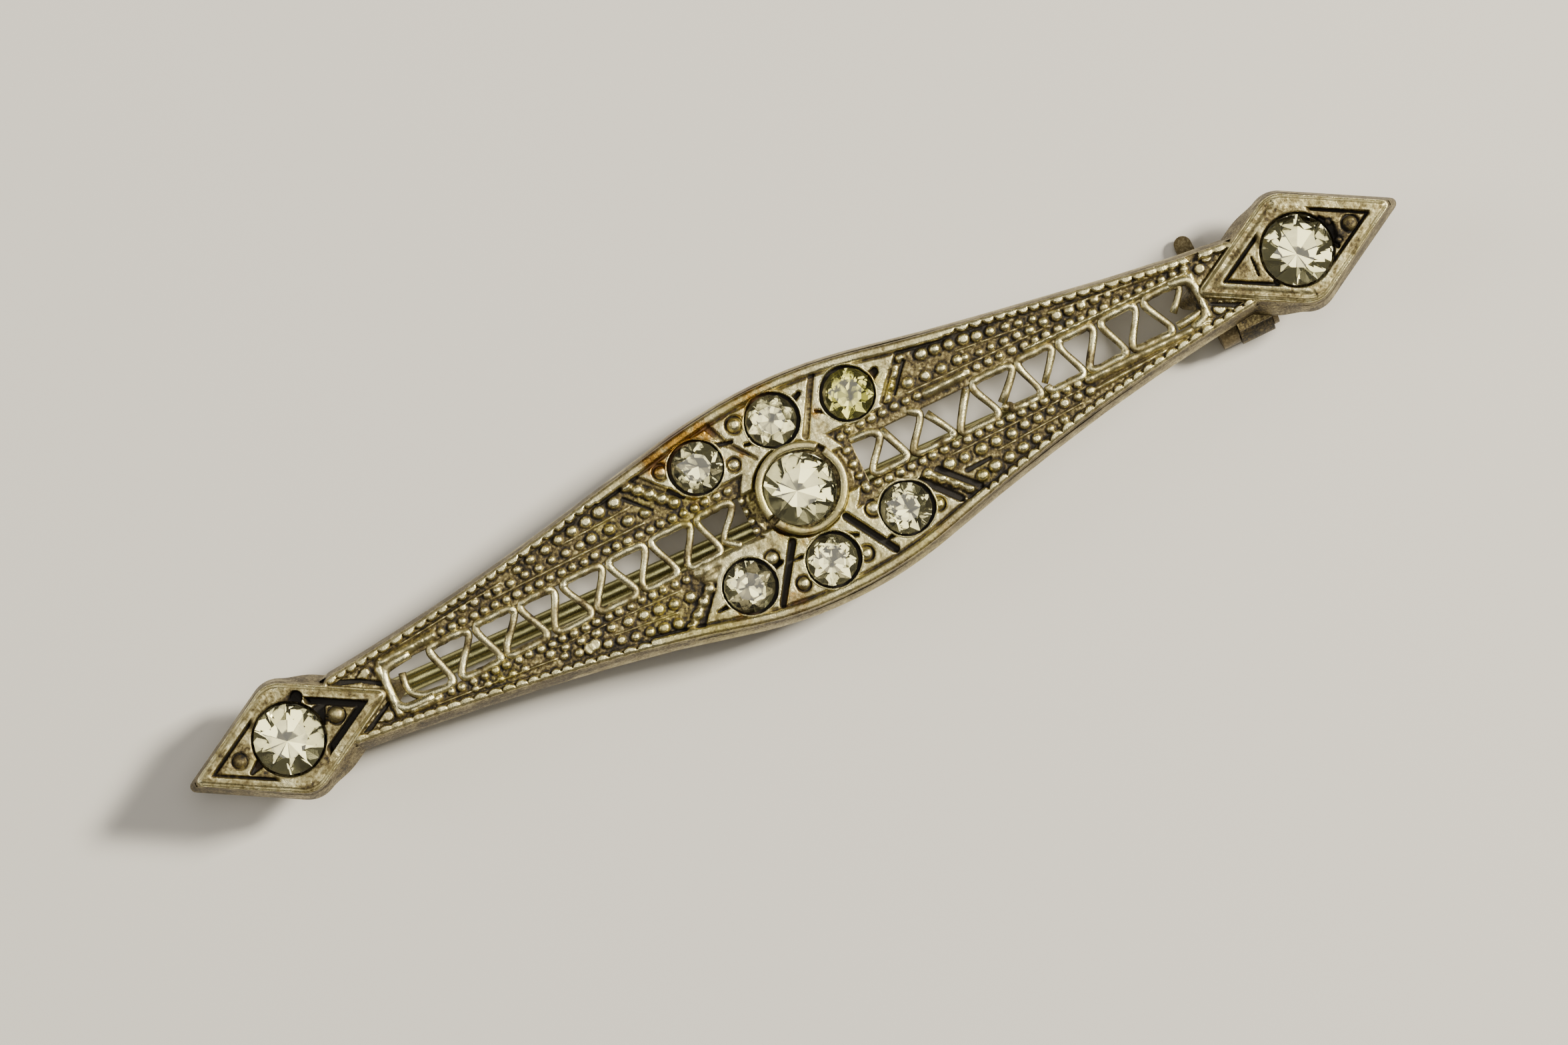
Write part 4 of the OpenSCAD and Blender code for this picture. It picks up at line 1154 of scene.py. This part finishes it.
def cast_wire(name, runs, diameter, level, seed):
    """A wire of uneven thickness along each run of corners, as one mesh."""
    chance = random.Random(seed)
    line = bpy.data.curves.new(name, "CURVE")
    line.dimensions = "3D"
    line.bevel_depth = diameter / 2 * mm
    line.bevel_resolution = 2
    line.resolution_u = 5
    line.use_fill_caps = True
    for run in runs:
        spline = line.splines.new("NURBS")
        spline.points.add(len(run) - 1)
        spline.order_u = 3
        spline.use_endpoint_u = True
        for order, (point, (x, y)) in enumerate(zip(spline.points, run)):
            dz, dx, dy = (chance.uniform(-0.02, 0.02) for _ in range(3))
            point.co = ((x + dx) * mm, (y + dy) * mm, (level + dz) * mm, 1)
            point.radius = chance.uniform(0.88, 1.08) + 0.22 * (abs(y) > 0.7) + 0.22 * (order % 2)
    drawn = add_object(name + "_line", line)
    bpy.context.view_layer.update()
    bm = in_mm(drawn.to_mesh())
    bpy.data.objects.remove(drawn)
    bmesh.ops.remove_doubles(bm, verts=bm.verts, dist=0.001)
    bmesh.ops.recalc_face_normals(bm, faces=bm.faces)
    x, y, z = np.array([v.co for v in bm.verts]).T
    wear = wire_wear + 2.2 * (z - level) + lumpy(x, y, WIRE_WEAR_LUMPS)
    carry(bm, np.clip(wear, 0, 1.1), x, y)
    return cast_piece(name, bm)


cast_wire("lattice", wire_runs, wire_d, lattice_z, 5)
cast_wire("window_frames", frame_runs, frame_d, frame_z, 6)


# The back: the plain underside of the casting, with its hollow, the cups under the
# stones, and the hinge ears and catch housing soldered on, as the bar's solid has them.
LARGE_STONES = ("stone_centre", "stone_hinge_end", "stone_catch_end")
seat_reach = dict.fromkeys(LARGE_STONES, 1.72) | dict.fromkeys(SEAT_ASIDE, 1.24)


def back_of_bar():
    bm = in_mm(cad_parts["bar"].data)
    bmesh.ops.remove_doubles(bm, verts=bm.verts, dist=0.0005)
    bmesh.ops.bisect_plane(bm, geom=bm.verts[:] + bm.edges[:] + bm.faces[:],
                           plane_co=(0, 0, window_foot_z), plane_no=(0, 0, 1), clear_outer=True)
    above = [(face, face.calc_center_median()) for face in bm.faces]
    above = [(face, c) for face, c in above if c.z > back_z + 0.1]
    inside = set()
    for stone, reach in seat_reach.items():
        sx, sy = middle_of(stone)
        inside |= {face for face, c in above if math.hypot(c.x - sx, c.y - sy) < reach}
    bmesh.ops.delete(bm, geom=list(inside), context="FACES")
    x, y, z = np.array([v.co for v in bm.verts]).T
    below = z < back_z - 0.01
    # Faces inside the hollow are made darker; the catch housing under the back is darker still, painted
    # shade for its place under the bar.
    wear = np.where(below, 0.42, 0.5) - 0.25 * (z > back_z + 0.02) - 0.3 * below * (x > window_end_x)
    carry(bm, wear, x, y)
    return cast_piece("bar_back", bm, smooth=False)


bar_back = back_of_bar()
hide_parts("bar")


# The nine stones: round cut glass over bright foil, which has gone dark in places and whose facets carry
# painted reflections and glints, darker and brighter at random. Each has a table, a crown and a girdle
# over a pointed back that carries the foil.
glass_clear = (0.97, 0.965, 0.87, 1)
glass_yellowed = (0.80, 0.79, 0.40, 1)
foil_bright = (0.97, 0.945, 0.72, 1)
foil_grey = (0.16, 0.145, 0.11, 1)
foil_olive = (0.22, 0.22, 0.06, 1)
glass_ior = 1.58
haze_scale = 1800
foil_patch_scale = 700
# Height of the crown and depth of the back, over the diameter; radius of the table, of the
# edge in the crown and of the break in the back, over the stone's
crown_share = 0.17
pavilion_share = 0.47
table_share = 0.56
crown_edge_share = 0.80
break_share = 0.5
girdle_t = 0.08


def glass(name, colour, cloud):
    """Clear glass whose surface is scratched dull in patches, by cloud at most."""
    paint, tree, shader = new_paint(name)
    fill(shader, {"Base Color": colour, "Transmission Weight": 1, "IOR": glass_ior})
    place = tree.nodes.new("ShaderNodeTexCoord").outputs["Object"]
    haze = between(tree, mottle(tree, place, haze_scale, 3), -0.1, 0.3, 0.0, cloud)
    link(tree, haze, shader.inputs["Roughness"])
    return paint


def foil(name, bright, dull):
    """Mirror foil, bright or dull by what each facet carries, tarnish with painted reflections and glints,
    and in soft patches.
    """
    paint, tree, shader = new_paint(name)
    shader.inputs["Metallic"].default_value = 1
    place = tree.nodes.new("ShaderNodeTexCoord").outputs["Object"]
    patch = maths(tree, "MULTIPLY", mottle(tree, place, foil_patch_scale, 2), 0.45)
    # Each facet's tone is tarnish and painted reflection; below 0 it is a painted glint.
    dark = maths(tree, "ADD", reading(tree, "dark"), patch, clamp=True)
    link(tree, tint(tree, dark, bright, dull), shader.inputs["Base Color"])
    link(tree, between(tree, dark, 0, 1, 0.03, 0.16), shader.inputs["Roughness"])
    return paint


clear_glass = glass("clear_glass", glass_clear, 0.02)
yellowed_glass = glass("yellowed_glass", glass_yellowed, 0.12)
stone_foil = foil("stone_foil", foil_bright, foil_grey)
olive_foil = foil("olive_foil", foil_bright, foil_olive)


# How far each stone is turned, how far and which way it leans, and how dark its foil is: tarnish, and a
# painted glint where it is below 0
STONE_LOOKS = {
    "stone_centre": (6, 2.5, 60, -0.05), "stone_hinge_end": (15, 1.0, 40, -0.05),
    "stone_catch_end": (9, 2.0, 60, -0.05), "stone_upper_left": (12, 4.0, 250, 0.30),
    "stone_upper_middle": (3, 2.0, 30, 0.05), "stone_upper_right": (18, 3.0, 120, 0.25),
    "stone_lower_left": (8, 4.0, 300, 0.38), "stone_lower_middle": (20, 3.0, 40, 0.32),
    "stone_lower_right": (5, 3.0, 160, 0.12)}


def cut_stone(node, turn, lean, lean_to, foil_tarnish_and_glint):
    """The stone that stands for one of the frame's stones, in its place and size."""
    low, high = (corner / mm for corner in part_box(node))
    d = high.x - low.x
    r = d / 2
    girdle = high.z - crown_share * d
    foot = girdle - girdle_t
    large = node in LARGE_STONES
    sides, aside = (10, 0.05) if large else (8, 0.03)
    chance = random.Random(round(turn * 100 + lean_to))
    turn, lean, lean_to = (math.radians(angle) for angle in (turn, lean, lean_to))
    bm = bmesh.new()
    rings = [(sides, table_share * r, high.z, 0.5),
             (sides, crown_edge_share * r, girdle + crown_share * d * 0.52, 0),
             (2 * sides, r, girdle, 0), (sides, r, foot, 0)]
    for corners, ring_r, z, shift in rings:
        spin = Matrix.Rotation(math.tau / corners * shift + turn, 4, "Z")
        at = Matrix.Translation((0, 0, z)) @ spin
        bmesh.ops.create_circle(bm, segments=corners, radius=ring_r, matrix=at)
    for k in range(0 if large else sides):
        a = turn + math.tau * (k + 0.5) / sides
        out = r * (break_share + chance.uniform(-0.06, 0.06))
        deep = foot - (pavilion_share * d - girdle_t) * (1 - out / r) - 0.02 * d
        bm.verts.new((out * math.cos(a), out * math.sin(a), deep))
    tip = [aside * d * chance.uniform(-1, 1) for _ in range(2)]
    bm.verts.new((*tip, girdle - pavilion_share * d))
    bmesh.ops.convex_hull(bm, input=bm.verts)
    bmesh.ops.dissolve_limit(bm, angle_limit=math.radians(1), verts=bm.verts, edges=bm.edges)
    bmesh.ops.recalc_face_normals(bm, faces=bm.faces)
    # A random tone for each facet of the back: tarnish of the foil and painted reflections, the negative
    # ones painted glints.
    facet_tarnish_and_glint = bm.faces.layers.float.new("dark")
    for face in bm.faces:
        face.material_index = int(face.calc_center_median().z < foot)
        face[facet_tarnish_and_glint] = foil_tarnish_and_glint + chance.choice((-0.3, -0.15, 0.0, 0.25, 0.6))
    tilt = Matrix.Rotation(lean, 3, Vector((-math.sin(lean_to), math.cos(lean_to), 0)))
    bmesh.ops.rotate(bm, cent=(0, 0, girdle), matrix=tilt, verts=bm.verts)
    bmesh.ops.translate(bm, vec=((low.x + high.x) / 2, (low.y + high.y) / 2, 0), verts=bm.verts)
    stained = node == "stone_upper_right"
    paints = (yellowed_glass, olive_foil) if stained else (clear_glass, stone_foil)
    piece = mesh_object(node.replace("stone", "cut_stone"), bm, *paints)
    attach(piece, "brooch")
    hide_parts(node)
    return piece


for node, look in STONE_LOOKS.items():
    cut_stone(node, *look)


# The pin stem is drawn brass wire, polished by use, with a greenish tone. It turns on a rivet between the
# hinge ears, and the catch's sleeve and lever are dull brass, kept dark also as painted shade for the
# sleeve under the bar.
pin_brass = metal_paint(
    "pin_brass",
    [(0.0, (0.02, 0.02, 0.008, 1)), (0.35, (0.13, 0.12, 0.05, 1)), (0.65, (0.42, 0.40, 0.18, 1)),
     (1.0, (0.78, 0.74, 0.42, 1))],
    roughness=(0.38, 0.22), metallic=(0.8, 1.0), grain=0.5, bump_depth=0.004 * mm, wear=0.60)
# The catch brass holds a low wear: dull brass, and painted shade for the sleeve under the bar.
catch_brass = metal_paint(
    "catch_brass",
    [(0.0, (0.02, 0.016, 0.01, 1)), (0.35, (0.13, 0.10, 0.05, 1)), (0.65, (0.40, 0.34, 0.20, 1)),
     (1.0, (0.70, 0.62, 0.42, 1))],
    roughness=(0.6, 0.35), metallic=(0.6, 1.0), grain=0.8, bump_depth=0.01 * mm, wear=0.34)
for node, paint in (("pin_stem", pin_brass), ("hinge_rivet", catch_brass), ("catch_lever", catch_brass)):
    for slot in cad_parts[node].material_slots:
        slot.material = paint
